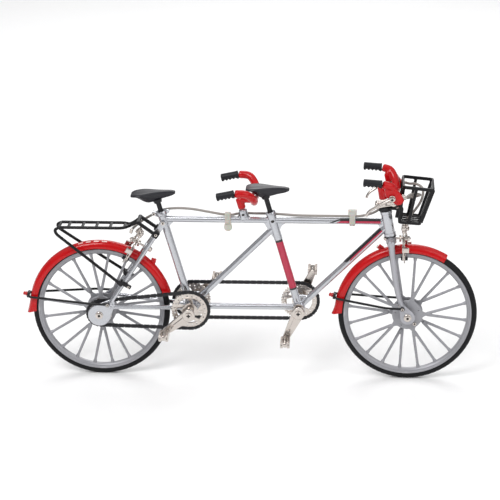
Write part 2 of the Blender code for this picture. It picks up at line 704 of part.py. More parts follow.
def rack():
    """Rear carrier: rails, cross bars, a neck with two prongs, and legs to the seat stays."""
    rails = [at(-20.6, -RACK_HALF, RACK_Z), at(12.5, -RACK_HALF, RACK_Z),
             at(16.4, -1.2, RACK_Z + 0.3), at(16.4, 1.2, RACK_Z + 0.3),
             at(12.5, RACK_HALF, RACK_Z), at(-20.6, RACK_HALF, RACK_Z)]
    pieces = [tube("rails", rails, 0.8 * MM, sides=8, closed=True)]
    for x in RACK_BARS_X:
        pieces.append(block("cross", (1.4 * MM, 2 * RACK_HALF * MM, 0.9 * MM), at(x, 0, RACK_Z)))
    neck = [at(15.8, 0, RACK_Z + 0.2), at(18.0, 0, RACK_Z + 1.4), at(20.9, 0, 85.4)]
    pieces.append(tube("neck", neck, 0.9 * MM, sides=8))
    pieces.append(rod("yoke", at(20.9, -5.5, 85.4), at(20.9, 5.5, 85.4), 0.9 * MM, 8))
    for side in (-1, 1):
        pieces.append(rod("prong", at(20.9, side * 5.3, 85.4), at(30.2, side * 5.6, 78.6),
                          0.95 * MM, 8))
        leg = [at(-19.4, side * 4.5, RACK_Z), at(-22.6, side * 4.7, 81.0),
               at(-21.8, side * 4.9, 78.6), at(11.4, side * 10.35, 53.6)]
        pieces.append(tube("leg", leg, 0.7 * MM, sides=8))
    finish(fused("rack", pieces), "satin_black")


# ---------------------------------------------------------------- drive
def crank(name, centre, degrees, y_inner, thickness, pedal_side, spindle_reach):
    """A tapered arm with a boss at each end and the pedal's pin."""
    end = polar(centre, CRANK_LENGTH, degrees)
    y_mid = (y_inner + thickness / 2) if pedal_side > 0 else (y_inner - thickness / 2)
    y_out = y_inner + pedal_side * thickness
    arm = side_plate("arm", [belt(flat(centre), 2.3 * MM, flat(end), 1.5 * MM, 10)], y_mid,
                     thickness)
    boss = across("boss", centre, y_inner + pedal_side * 0.2 * MM, y_out + pedal_side * 0.5 * MM,
                  2.7 * MM, 18)
    pin = across("pin", end, y_out - pedal_side * 0.3 * MM, y_out + pedal_side * spindle_reach,
                 0.75 * MM, 10)
    finish(fused(name, [arm, boss, pin]), "nickel", name=name, pivot=centre)
    return end, y_out


def pedal(name, pin_end, y_arm, side):
    """A flat block that turns on the crank's pin."""
    length, width, height = PEDAL_SIZE
    centre = Vector((pin_end.x, y_arm + side * (0.35 * MM + width / 2), pin_end.z))
    body = block(name, (length, width, height), centre)
    bore = across("bore", pin_end, y_arm - side * MM, y_arm + side * (width - 0.8 * MM),
                  1.0 * MM, 10)
    finish(cut(body, [bore]), "nickel", name=name, pivot=pin_end)


def chainring(name, centre, y_centre, spokes=5):
    """A ring with windows between its arms and a hole round the spindle."""
    outlines = [circle(centre.x, centre.z, RING_R, 32),
                circle(centre.x, centre.z, SPINDLE_R + GAP, 12)]
    for k in range(spokes):
        start = math.tau * k / spokes + 0.24
        stop = math.tau * (k + 1) / spokes - 0.24
        window = [(centre.x + 6.9 * MM * math.cos(start + (stop - start) * i / 5),
                   centre.z + 6.9 * MM * math.sin(start + (stop - start) * i / 5))
                  for i in range(6)]
        window += [(centre.x + 3.6 * MM * math.cos(stop + (start - stop) * i / 3),
                    centre.z + 3.6 * MM * math.sin(stop + (start - stop) * i / 3))
                   for i in range(4)]
        outlines.append(window)
    body = side_plate(name, outlines, y_centre, RING_HALF_THICKNESS * 2)
    finish(body, "nickel", name=name, pivot=centre)


def spindle(name, centre, y_right, y_left):
    finish(across(name, centre, y_right, y_left, SPINDLE_R, 14), "nickel", name=name, pivot=centre)


def chain(name, first, first_r, second, second_r, y_centre):
    """A closed loop of chain, laid round two toothed wheels."""
    inner = belt(flat(first), first_r + GAP, flat(second), second_r + GAP, 14)
    outer = belt(flat(first), first_r + GAP + CHAIN_THICKNESS,
                 flat(second), second_r + GAP + CHAIN_THICKNESS, 14)
    body = side_plate(name, [outer, inner], y_centre, CHAIN_HALF_WIDTH * 2)
    finish(body, "satin_black", name=name)


ARM_THICKNESS = 1.8 * MM
STOKER_RIGHT_Y = -13.2 * MM
CAPTAIN_RIGHT_Y = -8.4 * MM
LEFT_Y = 12.4 * MM
PEDAL_PIN = 7.4 * MM


def drivetrain():
    rigs = (("stoker", STOKER_BB, STOKER_CRANK_DEG, STOKER_RIGHT_Y),
            ("captain", CAPTAIN_BB, CAPTAIN_CRANK_DEG, CAPTAIN_RIGHT_Y))
    for prefix, centre, degrees, right_y in rigs:
        spindle(prefix + "_spindle", centre, right_y + GAP, LEFT_Y - GAP)
        for side, y_inner, angle in ((-1, right_y, degrees), (1, LEFT_Y, degrees - 180.0)):
            hand = swept_side(side)
            end, y_arm = crank(prefix + "_crank_" + hand, centre, angle, y_inner, ARM_THICKNESS,
                               side, PEDAL_PIN)
            pedal(prefix + "_pedal_" + hand, end, y_arm, side)
        chainring(prefix + "_sync_ring", centre, SYNC_PLANE_Y)
    chainring("drive_ring", STOKER_BB, DRIVE_PLANE_Y)
    chain("drive_chain", REAR_AXLE, SPROCKET_R, STOKER_BB, RING_R, DRIVE_PLANE_Y)
    chain("sync_chain", STOKER_BB, RING_R, CAPTAIN_BB, RING_R, SYNC_PLANE_Y)


# ---------------------------------------------------------------- brakes
def brake(prefix, pivot, out, up, body_start, slot_pivot=None):
    """A side-pull caliper: bolt with its spring block, and two arms that turn on the bolt."""
    sideways = Vector((0, 1, 0))

    def spot(a, y, u):
        return pivot + out * a * MM + sideways * y * MM + up * u * MM

    bolt = rod("bolt", body_start, spot(3.6, 0, 0), BRAKE_BOLT_R, 10)
    washer = rod("washer", spot(-1.5, 0, 0), spot(-0.3, 0, 0), 1.6 * MM, 12)
    nut = rod("nut", spot(2.9, 0, 0), spot(3.9, 0, 0), 1.2 * MM, 6)
    finish(fused(prefix + "_brake_bolt", [bolt, washer, nut]), "nickel", pivot=slot_pivot)
    for side, near in ((-1, 0.0), (1, 1.4)):
        mid = near + 0.55
        hub = rod("hub", spot(near, 0, 0), spot(near + 1.1, 0, 0), 1.5 * MM, 14)
        lower = tube("lower", [spot(mid, side * 0.4, 0), spot(mid, side * 3.6, -1.6),
                               spot(mid, side * 4.8, -4.6), spot(mid, side * 4.7, -8.2),
                               spot(mid, side * 4.0, -BRAKE_ARM_DROP)], 0.62 * MM, sides=8,
                     smooth=2)
        upper = tube("upper", [spot(mid, side * 0.4, 0.2), spot(mid, side * 1.9, 2.6),
                               spot(mid, side * 2.2, 5.0)], 0.6 * MM, sides=8)
        pad = rod("pad", spot(0.2, side * 3.35, -BRAKE_ARM_DROP),
                  spot(2.4, side * 3.35, -BRAKE_ARM_DROP), 0.85 * MM, 8)
        bore = rod("bore", spot(near - 1, 0, 0), spot(near + 2, 0, 0), BRAKE_BOLT_R + 0.2 * MM, 10)
        name = prefix + "_brake_arm_" + swept_side(side)
        finish(cut(fused(name, [hub, lower, upper, pad]), [bore]), "nickel", name=name,
               pivot=pivot)


REAR_CABLE = ((16.6, 0, 79.4), (18.2, 3.6, 80.4), (21.8, 7.7, 82.4), (26.4, 7.2, 85.4),
              (32.4, 4.0, 89.4), (40.0, 1.2, 91.4), (48.0, 0.3, 91.4), (56.0, 0.0, 90.2),
              (64.0, 0.0, 88.8), (68.6, 0.1, 88.5), (71.4, 2.0, 88.5),
              (75.0, 3.3, 88.5), (82.0, 3.3, 88.4),
              (89.0, 3.3, 88.4), (96.0, 2.2, 88.4), (104.0, 0.5, 88.5), (118.0, 0.0, 88.6),
              (128.0, 0.0, 88.6), (133.6, 0.1, 88.6), (138.0, 1.6, 88.9), (142.0, 3.9, 89.6))
REAR_CABLE_LEAD = ((149.4, 5.7, 93.7), (153.2, 5.0, 95.2), (158.4, 3.4, 97.6),
                   (163.2, 0.4, 99.6), (165.2, -2.8, 101.4), (162.9, -5.4, 102.7),
                   (159.9, -8.9, 103.3), (158.0, -12.8, 103.0))
FRONT_CABLE = ((158.0, 12.8, 103.0), (160.1, 9.6, 103.5), (163.4, 6.2, 104.4),
               (166.6, 3.0, 102.8), (166.0, 0.8, 97.6), (162.4, 0.0, 91.8),
               (158.4, 0.0, 87.0), (156.9, -0.4, 84.0))


def cable(name, route, pivot=None):
    line = smooth_path([at(*point) for point in route], 2)
    finish(tube(name, line, CABLE_R, sides=8), "cable_grey", name=name, pivot=pivot)


def cable_clip(name, x, tail_down):
    """A soft clip round the top tube and the cable, with a tab to pull it off."""
    z = 86.0 * MM
    cable_z = 88.6 * MM
    outer = belt((0.0, z), 2.55 * MM, (0.0, cable_z), 1.5 * MM, 12)
    inner = belt((0.0, z), TUBE_R + 0.25 * MM, (0.0, cable_z), CABLE_R + 0.25 * MM, 12)
    ring = plate("ring", [outer, inner], 3.0 * MM, Matrix.Translation((x, 0, 0)) @ END_VIEW)
    if tail_down:
        tab = rod("tab", Vector((x, -MM, z - 4.1 * MM)), Vector((x, MM, z - 4.1 * MM)),
                  1.9 * MM, 20)
    else:
        tab = block("tab", (4.4 * MM, 2.4 * MM, 2.6 * MM), Vector((x, 0, cable_z + 2.2 * MM)))
    finish(fused(name, [ring, tab]), "clip_clear", name=name)


# ---------------------------------------------------------------- saddles
def saddle(prefix, seat_top, bottom, tilt_deg, length, post_length):
    """A narrow saddle shell and the round post that slides in the seat tube."""
    half = length / 2
    stations = ((-1.0, 0.6, 0.2), (-0.8, 0.96, 0.42), (-0.45, 0.98, 0.78), (-0.1, 0.62, 1.0),
                (0.3, 0.36, 0.72), (0.7, 0.27, 0.5), (1.0, 0.14, 0.3))
    width = 6.4 * MM
    depth = 5.0 * MM
    rings = []
    turn = Matrix.Rotation(math.radians(tilt_deg), 3, "Y")
    for along, wide, deep in stations:
        ring = []
        for i in range(12):
            angle = math.tau * i / 12
            y = width * wide * math.cos(angle)
            z = 0.9 * MM * math.sin(angle) if math.sin(angle) > 0 else depth * deep * math.sin(angle)
            ring.append(turn @ Vector((half * along, y, z)))
        rings.append(ring)
    centre = bottom
    rings = [[centre + point for point in ring] for ring in rings]
    shell = loft(prefix + "_saddle", rings)
    finish(shell, "saddle_black", name=prefix + "_saddle")
    direction = (seat_top[1] - seat_top[0]).normalized()
    top = seat_top[0] - direction * post_length
    low = seat_top[0] + direction * 9.5 * MM
    post = rod(prefix + "_seat_post", top, low, SEAT_POST_R, 16)
    finish(post, "satin_black", name=prefix + "_seat_post")


def saddles():
    saddle("stoker", (STOKER_SEAT_TOP, STOKER_BB), at(28.4, 0, 100.2), -2.0, 23.0 * MM, 5.2 * MM)
    saddle("captain", (CAPTAIN_SEAT_TOP, CAPTAIN_BB), at(87.4, 0, 103.4), 3.0, 22.4 * MM, 7.9 * MM)


# ---------------------------------------------------------------- assembly
def wheels():
    wheel("rear", REAR_AXLE, 18.3, -6.1 * MM, 8.9 * MM)
    wheel("front", FRONT_AXLE, 2.5, -5.1 * MM, 5.1 * MM)
    rear_sprocket()
    axle("rear_axle", REAR_AXLE, DROPOUT_Y + 0.55 * MM + GAP)
    axle("front_axle", FRONT_AXLE, 7.4 * MM + GAP)


def steering():
    fork()
    ring_on_steering("headset_lower", 77.9 * MM, 78.3 * MM, STEERER_R + GAP, 3.1 * MM,
                     "satin_black")
    basket_bracket()
    captain_stem()
    captain_bar()
    grips("captain", at(146.0, BAR_HALF_WIDTH, 110.5), at(136.2, BAR_HALF_WIDTH, 111.2),
          HEAD_BOTTOM)
    brake_levers()
    basket()


def stoker_controls():
    half_bar = [at(80.2, 0, 96.8), at(80.8, -6.0, 97.6), at(80.6, -12.0, 100.8),
                at(77.2, -16.2, 104.6), at(71.6, -17.0, 105.2)]
    body = handlebar("stoker_handlebar", at(74.3, 0, 92.0), at(72.9, 0, 97.4), 1.9 * MM,
                     half_bar, [])
    finish(body, "gloss_red")
    grips("stoker", at(71.6, 17.0, 105.2), at(62.2, 17.0, 103.2))


def fenders():
    fender("rear", REAR_AXLE, 14.5, 183.0, 43.0)
    fender_stay("rear", REAR_AXLE, 169.0, at(4.6, -11.5, 42.3))
    fender_knob("rear", REAR_AXLE, 169.0)
    fender("front", FRONT_AXLE, 57.5, 180.5, 111.0, HEAD_BOTTOM)
    fender_stay("front", FRONT_AXLE, 166.5, at(157.2, -8.5, 41.2), HEAD_BOTTOM)
    fender_knob("front", FRONT_AXLE, 166.5, HEAD_BOTTOM)


def build():
    clear_scene()
    frame()
    wheels()
    steering()
    stoker_controls()
    fenders()
    rack()
    drivetrain()
    brake("rear", REAR_BRAKE_PIVOT, REAR_BRAKE_OUT, REAR_BRAKE_UP, BRIDGE - REAR_BRAKE_OUT * 2 * MM)
    brake("front", FRONT_BRAKE_PIVOT, FRONT_BRAKE_OUT, FRONT_BRAKE_UP,
          FRONT_BRAKE_PIVOT - at(7.8, 0, 0), HEAD_BOTTOM)
    cable("rear_brake_cable", REAR_CABLE)
    cable("rear_cable_lead", REAR_CABLE_LEAD, HEAD_BOTTOM)
    cable("front_brake_cable", FRONT_CABLE, HEAD_BOTTOM)
    cable_clip("cable_clip_rear", 66.9 * MM, True)
    cable_clip("cable_clip_front", 130.9 * MM, False)
    saddles()


build()
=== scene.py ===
"""The looks of the one-tenth scale display model of a tandem bicycle.

Everything is in the frame of the CAD: the origin is on the ground under the rear axle, +X points
forwards, +Y to the rider's left and +Z up.  at(), turned() and screw() take millimetres; all else
is in metres.
"""
import json
import math

import bmesh
import bpy
from mathutils import Matrix, Vector
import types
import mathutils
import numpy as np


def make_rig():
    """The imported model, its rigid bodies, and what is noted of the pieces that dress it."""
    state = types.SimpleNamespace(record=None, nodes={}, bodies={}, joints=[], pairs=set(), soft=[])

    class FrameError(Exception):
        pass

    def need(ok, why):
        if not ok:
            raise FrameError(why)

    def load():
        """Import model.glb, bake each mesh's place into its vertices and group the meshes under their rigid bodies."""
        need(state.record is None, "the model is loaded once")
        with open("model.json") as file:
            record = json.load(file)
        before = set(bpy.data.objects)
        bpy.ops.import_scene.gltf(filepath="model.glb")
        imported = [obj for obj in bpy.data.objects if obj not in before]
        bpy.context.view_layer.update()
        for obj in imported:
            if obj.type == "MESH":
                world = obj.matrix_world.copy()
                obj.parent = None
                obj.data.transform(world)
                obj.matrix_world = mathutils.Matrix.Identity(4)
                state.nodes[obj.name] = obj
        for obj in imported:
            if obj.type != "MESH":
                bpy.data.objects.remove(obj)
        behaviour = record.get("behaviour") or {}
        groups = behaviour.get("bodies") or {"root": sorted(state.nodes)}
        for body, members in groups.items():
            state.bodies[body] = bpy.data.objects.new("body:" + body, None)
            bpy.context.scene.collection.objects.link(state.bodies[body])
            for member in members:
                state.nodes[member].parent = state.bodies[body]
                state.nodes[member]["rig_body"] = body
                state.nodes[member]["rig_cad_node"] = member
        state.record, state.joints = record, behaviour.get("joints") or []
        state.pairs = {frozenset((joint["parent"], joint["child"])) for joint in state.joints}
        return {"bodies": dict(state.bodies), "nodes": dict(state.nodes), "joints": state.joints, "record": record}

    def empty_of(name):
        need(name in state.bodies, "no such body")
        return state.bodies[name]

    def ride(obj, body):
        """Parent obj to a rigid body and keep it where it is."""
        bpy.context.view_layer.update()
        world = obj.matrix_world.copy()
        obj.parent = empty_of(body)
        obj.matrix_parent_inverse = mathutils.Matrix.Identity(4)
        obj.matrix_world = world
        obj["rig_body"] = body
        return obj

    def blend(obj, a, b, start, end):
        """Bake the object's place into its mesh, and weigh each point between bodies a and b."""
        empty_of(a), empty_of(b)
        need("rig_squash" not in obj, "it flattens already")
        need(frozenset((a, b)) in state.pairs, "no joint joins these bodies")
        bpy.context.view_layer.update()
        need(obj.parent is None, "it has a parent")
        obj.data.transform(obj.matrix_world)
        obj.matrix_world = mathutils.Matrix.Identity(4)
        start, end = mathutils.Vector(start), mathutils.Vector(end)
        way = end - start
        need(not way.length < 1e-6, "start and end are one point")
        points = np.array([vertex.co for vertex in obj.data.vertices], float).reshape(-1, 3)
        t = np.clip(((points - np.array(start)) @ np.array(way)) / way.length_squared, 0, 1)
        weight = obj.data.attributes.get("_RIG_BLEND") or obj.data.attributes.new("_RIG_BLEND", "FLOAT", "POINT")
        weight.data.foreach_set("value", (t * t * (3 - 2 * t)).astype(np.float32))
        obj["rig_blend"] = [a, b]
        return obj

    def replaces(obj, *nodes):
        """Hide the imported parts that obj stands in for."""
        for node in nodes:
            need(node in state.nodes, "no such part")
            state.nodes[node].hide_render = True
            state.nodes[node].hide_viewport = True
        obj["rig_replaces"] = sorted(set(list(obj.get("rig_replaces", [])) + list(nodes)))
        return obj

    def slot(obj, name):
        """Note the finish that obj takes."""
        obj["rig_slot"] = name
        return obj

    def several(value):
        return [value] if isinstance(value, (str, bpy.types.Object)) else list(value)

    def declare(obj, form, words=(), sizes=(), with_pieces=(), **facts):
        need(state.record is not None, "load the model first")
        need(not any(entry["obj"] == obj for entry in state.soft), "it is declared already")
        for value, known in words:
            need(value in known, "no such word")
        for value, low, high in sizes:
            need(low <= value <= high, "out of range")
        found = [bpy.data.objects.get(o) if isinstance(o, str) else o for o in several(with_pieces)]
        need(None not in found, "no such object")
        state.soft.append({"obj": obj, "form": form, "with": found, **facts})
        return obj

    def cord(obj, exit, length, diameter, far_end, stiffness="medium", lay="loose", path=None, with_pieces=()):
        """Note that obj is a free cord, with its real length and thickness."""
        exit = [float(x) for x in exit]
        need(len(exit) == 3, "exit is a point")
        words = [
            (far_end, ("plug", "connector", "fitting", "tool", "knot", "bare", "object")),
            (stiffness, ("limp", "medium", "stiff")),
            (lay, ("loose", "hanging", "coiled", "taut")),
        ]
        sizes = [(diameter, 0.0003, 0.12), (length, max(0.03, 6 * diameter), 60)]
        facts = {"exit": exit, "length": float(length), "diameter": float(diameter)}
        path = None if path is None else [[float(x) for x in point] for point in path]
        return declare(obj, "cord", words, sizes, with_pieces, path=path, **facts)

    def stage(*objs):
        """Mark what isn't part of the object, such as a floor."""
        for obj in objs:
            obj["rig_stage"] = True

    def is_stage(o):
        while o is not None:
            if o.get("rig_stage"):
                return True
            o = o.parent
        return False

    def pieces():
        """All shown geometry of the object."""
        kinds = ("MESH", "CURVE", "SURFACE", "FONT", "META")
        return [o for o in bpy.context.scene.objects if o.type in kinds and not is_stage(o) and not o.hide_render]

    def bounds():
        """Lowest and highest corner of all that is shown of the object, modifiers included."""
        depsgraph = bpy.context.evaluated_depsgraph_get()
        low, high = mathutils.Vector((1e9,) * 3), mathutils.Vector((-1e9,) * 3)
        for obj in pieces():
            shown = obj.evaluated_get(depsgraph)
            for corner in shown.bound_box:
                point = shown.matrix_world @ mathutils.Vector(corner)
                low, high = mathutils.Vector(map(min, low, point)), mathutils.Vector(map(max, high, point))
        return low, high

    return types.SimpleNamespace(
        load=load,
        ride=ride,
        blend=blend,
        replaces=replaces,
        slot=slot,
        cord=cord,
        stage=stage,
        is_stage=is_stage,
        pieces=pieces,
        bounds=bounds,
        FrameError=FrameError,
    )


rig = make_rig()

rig.load()
cad_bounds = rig.bounds()

MM = 0.001
X = Vector((1, 0, 0))
Y = Vector((0, 1, 0))
Z = Vector((0, 0, 1))
SIDES = ((-1, "right"), (1, "left"))


def at(x, y, z):
    """A point given in millimetres."""
    return Vector((x, y, z)) * MM


# ---------------------------------------------------------------- places shared with the CAD
REAR_AXLE = at(0, 0, 36)
FRONT_AXLE = at(160, 0, 36)
STOKER_BB = at(47, 0, 38.3)
CAPTAIN_BB = at(103.5, 0, 38.5)
STOKER_SEAT_TOP = at(32.3, 0, 90.0)
CAPTAIN_SEAT_TOP = at(88.7, 0, 90.4)
HEAD_TOP = at(147.85, 0, 92.0)
HEAD_BOTTOM = at(150.35, 0, 78.6)
STEERING_AXIS = (HEAD_TOP - HEAD_BOTTOM).normalized()
STOKER_SEAT_DOWN = (STOKER_BB - STOKER_SEAT_TOP).normalized()
CAPTAIN_SEAT_DOWN = (CAPTAIN_BB - CAPTAIN_SEAT_TOP).normalized()
LEVER_PIVOT = at(150.8, 0, 103.4)
DROPOUT_Y = 9.8 * MM
DRIVE_PLANE_Y = -6.95 * MM
SYNC_PLANE_Y = 9.3 * MM
CRANK_LENGTH = 15.5 * MM
TUBE_R = 1.65 * MM
SEAT_TUBE_R = 1.95 * MM
STAY_R = 1.2 * MM
BOOM_R = 1.64 * MM
LATERAL_R = 1.62 * MM
CORE_INSET = 0.1 * MM
CAST_VOXEL = 0.25 * MM


# ---------------------------------------------------------------- camera, light and floor
CAMERA_AIM = at(78.145, 0, 69.498)
CAMERA_DISTANCE = 1.035
CAMERA_AZIMUTH = 3.501
CAMERA_ELEVATION = 19.115
CAMERA_ROLL = -0.367
CAMERA_LENS = 144.0
LAMP_AIM = at(78, 0, 50)


def camera():
    turn, lift = math.radians(CAMERA_AZIMUTH), math.radians(CAMERA_ELEVATION)
    back = Vector((math.sin(turn) * math.cos(lift), -math.cos(turn) * math.cos(lift),
                   math.sin(lift)))
    right = Vector((math.cos(turn), math.sin(turn), 0))
    over = back.cross(right)
    roll = Matrix.Rotation(math.radians(CAMERA_ROLL), 3, back)
    right, over = roll @ right, roll @ over
    data = bpy.data.cameras.new("camera")
    data.lens = CAMERA_LENS
    data.sensor_width = 36.0
    data.clip_end = 20.0
    eye = bpy.data.objects.new("camera", data)
    bpy.context.scene.collection.objects.link(eye)
    eye.matrix_world = Matrix.Translation(CAMERA_AIM + back * CAMERA_DISTANCE) @ Matrix(
        (right, over, back)).transposed().to_4x4()
    bpy.context.scene.camera = eye


def lamp(name, place, size, power):
    data = bpy.data.lights.new(name, "AREA")
    data.shape = "DISK"
    data.size = size
    data.energy = power
    obj = bpy.data.objects.new(name, data)
    obj.location = place
    obj.rotation_euler = (LAMP_AIM - place).to_track_quat("-Z", "Y").to_euler()
    bpy.context.scene.collection.objects.link(obj)


def studio():
    """A pale floor, a world that is lighter overhead than at the sides, and three soft lamps."""
    lamp("key", at(-350, -700, 900), 0.55, 6.5)
    lamp("fill", at(700, -500, 500), 0.8, 2.2)
    lamp("back", at(100, 800, 700), 0.7, 3.5)
    world = bpy.data.worlds.new("studio")
    world.use_nodes = True
    bpy.context.scene.world = world
    nodes, links = world.node_tree.nodes, world.node_tree.links
    place = nodes.new("ShaderNodeTexCoord")
    split = nodes.new("ShaderNodeSeparateXYZ")
    ramp = nodes.new("ShaderNodeValToRGB")
    ramp.color_ramp.elements[0].position = 0.35
    ramp.color_ramp.elements[0].color = (0.30, 0.30, 0.31, 1)
    ramp.color_ramp.elements[1].position = 0.9
    ramp.color_ramp.elements[1].color = (1, 1, 1, 1)
    links.new(place.outputs["Generated"], split.inputs[0])
    links.new(split.outputs["Z"], ramp.inputs[0])
    links.new(ramp.outputs[0], nodes["Background"].inputs["Color"])
    nodes["Background"].inputs["Strength"].default_value = 0.9
    bpy.context.scene.view_settings.view_transform = "Standard"
    floor = slab("floor", [[(-6, -6), (6, -6), (6, 6), (-6, 6)]], 0.002,
                 Matrix.Translation((0, 0, -0.0011)))
    floor.data.materials.append(surface("floor", (0.93, 0.93, 0.93), 0.7, mottle=0.01, bump=0.0))
    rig.stage(floor)


# ---------------------------------------------------------------- materials
BLOTCH_SCALE = 110.0


def surface(name, colour, roughness, metallic=0.0, mottle=0.08, spread=0.08, grain=2600.0,
            bump=0.03, coat=0.0, edge_highlight_colour=None, **sockets):
    """A finish with blotches of tone, uneven gloss, a fine grain and, if asked, a painted highlight: convex edges
    lightened as if they caught the light.
    """
    made = bpy.data.materials.new(name)
    made.use_nodes = True
    nodes, links = made.node_tree.nodes, made.node_tree.links
    shader = nodes["Principled BSDF"]
    shader.inputs["Metallic"].default_value = metallic
    shader.inputs["Coat Weight"].default_value = coat
    shader.inputs["Coat Roughness"].default_value = 0.06
    for socket, value in sockets.items():
        shader.inputs[socket.replace("_", " ")].default_value = value
    place = nodes.new("ShaderNodeTexCoord")
    tone = nodes.new("ShaderNodeTexNoise")
    tone.inputs["Scale"].default_value = BLOTCH_SCALE
    tone.inputs["Detail"].default_value = 4.0
    links.new(place.outputs["Object"], tone.inputs["Vector"])
    mix = nodes.new("ShaderNodeMix")
    mix.data_type = "RGBA"
    mix.inputs[6].default_value = (*[c * (1 - mottle) for c in colour], 1)
    mix.inputs[7].default_value = (*[min(1, c * (1 + mottle)) for c in colour], 1)
    links.new(tone.outputs["Fac"], mix.inputs[0])
    base = mix.outputs[2]
    fine = nodes.new("ShaderNodeTexNoise")
    fine.inputs["Scale"].default_value = grain
    fine.inputs["Detail"].default_value = 3.0
    links.new(place.outputs["Object"], fine.inputs["Vector"])
    gloss = nodes.new("ShaderNodeMapRange")
    gloss.inputs["To Min"].default_value = max(0.02, roughness - spread)
    gloss.inputs["To Max"].default_value = min(1.0, roughness + spread)
    links.new(tone.outputs["Fac"], gloss.inputs["Value"])
    links.new(gloss.outputs["Result"], shader.inputs["Roughness"])
    # Painted highlight: convex edges, found by pointiness, are mixed towards a lighter colour as if lit.
    if edge_highlight_colour:
        edges = nodes.new("ShaderNodeNewGeometry")
        ramp = nodes.new("ShaderNodeMapRange")
        ramp.inputs["From Min"].default_value = 0.53
        ramp.inputs["From Max"].default_value = 0.66
        links.new(edges.outputs["Pointiness"], ramp.inputs["Value"])
        painted_edge_highlight = nodes.new("ShaderNodeMix")
        painted_edge_highlight.data_type = "RGBA"
        painted_edge_highlight.inputs[7].default_value = (*edge_highlight_colour, 1)
        links.new(ramp.outputs["Result"], painted_edge_highlight.inputs[0])
        links.new(base, painted_edge_highlight.inputs[6])
        base = painted_edge_highlight.outputs[2]
    links.new(base, shader.inputs["Base Color"])
    relief = nodes.new("ShaderNodeBump")
    relief.inputs["Strength"].default_value = bump
    relief.inputs["Distance"].default_value = 0.1 * MM
    links.new(fine.outputs["Fac"], relief.inputs["Height"])
    links.new(relief.outputs["Normal"], shader.inputs["Normal"])
    return made


def palette():
    """Every finish of the model: record slot name or a finish of its own, to material."""
    return {
        "frame_silver": surface("frame_silver", (0.53, 0.54, 0.57), 0.26, 0.95, mottle=0.03,
                                spread=0.03, bump=0.01, coat=0.15),
        # Its lighter edge colour is a painted highlight on the convex edges.
        "wheel_grey": surface("wheel_grey", (0.30, 0.30, 0.32), 0.4, 0.35, mottle=0.05,
                              bump=0.04, edge_highlight_colour=(0.45, 0.45, 0.47)),
        "fork_grey": surface("fork_grey", (0.40, 0.40, 0.43), 0.34, 0.6, mottle=0.04, bump=0.02,
                             coat=0.1),
        "tyre_black": surface("tyre_black", (0.008, 0.008, 0.009), 0.62, mottle=0.25, grain=5200.0,
                              bump=0.25, Specular_IOR_Level=0.2),
        "gloss_red": surface("gloss_red", (0.47, 0.004, 0.006), 0.2, mottle=0.07, spread=0.05,
                             bump=0.02, coat=0.25, Specular_IOR_Level=0.2),
        # Its slightly lighter edge colour is a painted highlight on the convex edges.
        "satin_black": surface("satin_black", (0.006, 0.006, 0.007), 0.34, mottle=0.2, bump=0.05,
                               edge_highlight_colour=(0.03, 0.03, 0.034), Specular_IOR_Level=0.25),
        "nickel": surface("nickel", (0.60, 0.55, 0.51), 0.2, 1.0, mottle=0.06, spread=0.09,
                          bump=0.04),
        "saddle_black": surface("saddle_black", (0.016, 0.016, 0.021), 0.34, mottle=0.12,
                                grain=4200.0, bump=0.1, Specular_IOR_Level=0.35),
        "grip_black": surface("grip_black", (0.008, 0.009, 0.012), 0.5, mottle=0.15, grain=3800.0,
                              bump=0.15, Specular_IOR_Level=0.3),
        "cable_grey": surface("cable_grey", (0.27, 0.245, 0.225), 0.42, mottle=0.1, bump=0.1),
        "clip_clear": surface("clip_clear", (0.60, 0.59, 0.53), 0.3, mottle=0.03, bump=0.05,
                              Transmission_Weight=0.25, Subsurface_Weight=0.5,
                              Subsurface_Scale=0.002),
        "crimson": surface("crimson", (0.42, 0.008, 0.045), 0.25, mottle=0.08, coat=0.5),
        "stripe_black": surface("stripe_black", (0.008, 0.008, 0.01), 0.2, mottle=0.1, coat=0.5),
        # Near-black painted shade, put on screw recess floors and the small lug plugs where hollows would be in
        # shadow.
        "recess": surface("recess", (0.02, 0.018, 0.016), 0.6, mottle=0.2),
        # Pale pink painted highlight for the lit crown of the gloss red rear mudguard.
        "pale_print": surface("pale_print", (0.80, 0.55, 0.52), 0.35, mottle=0.05, coat=0.4),
        "lens_red": surface("lens_red", (0.55, 0.012, 0.012), 0.12, mottle=0.08, coat=0.6,
                            Transmission_Weight=0.2),
    }


# ---------------------------------------------------------------- mesh helpers
def add_object(name, data, matrix=None):
    obj = bpy.data.objects.new(name, data)
    bpy.context.scene.collection.objects.link(obj)
    if matrix is not None:
        obj.matrix_world = matrix
    return obj


def baked(obj):
    """Replace an object by the mesh it evaluates to, in place."""
    bpy.context.view_layer.update()
    evaluated = obj.evaluated_get(bpy.context.evaluated_depsgraph_get())
    mesh = bpy.data.meshes.new_from_object(evaluated)
    mesh.transform(obj.matrix_world)
    name = obj.name
    bpy.data.objects.remove(obj, do_unlink=True)
    bm = bmesh.new()
    bm.from_mesh(mesh)
    bmesh.ops.remove_doubles(bm, verts=bm.verts, dist=1e-6)
    bmesh.ops.recalc_face_normals(bm, faces=bm.faces)
    bm.to_mesh(mesh)
    bm.free()
    return add_object(name, mesh)


def loft(name, rings, closed=False):
    """A body through rings of points, capped at its ends unless it closes on itself."""
    bm = bmesh.new()
    rows = [[bm.verts.new(point) for point in ring] for ring in rings]
    size = len(rows[0])
    for r in range(len(rows) - 1 + int(closed)):
        low, high = rows[r], rows[(r + 1) % len(rows)]
        for i in range(size):
            j = (i + 1) % size
            bm.faces.new((low[i], low[j], high[j], high[i]))
    if not closed:
        bm.faces.new(rows[0])
        bm.faces.new(rows[-1])
    bmesh.ops.recalc_face_normals(bm, faces=bm.faces)
    mesh = bpy.data.meshes.new(name)
    bm.to_mesh(mesh)
    bm.free()
    return add_object(name, mesh)


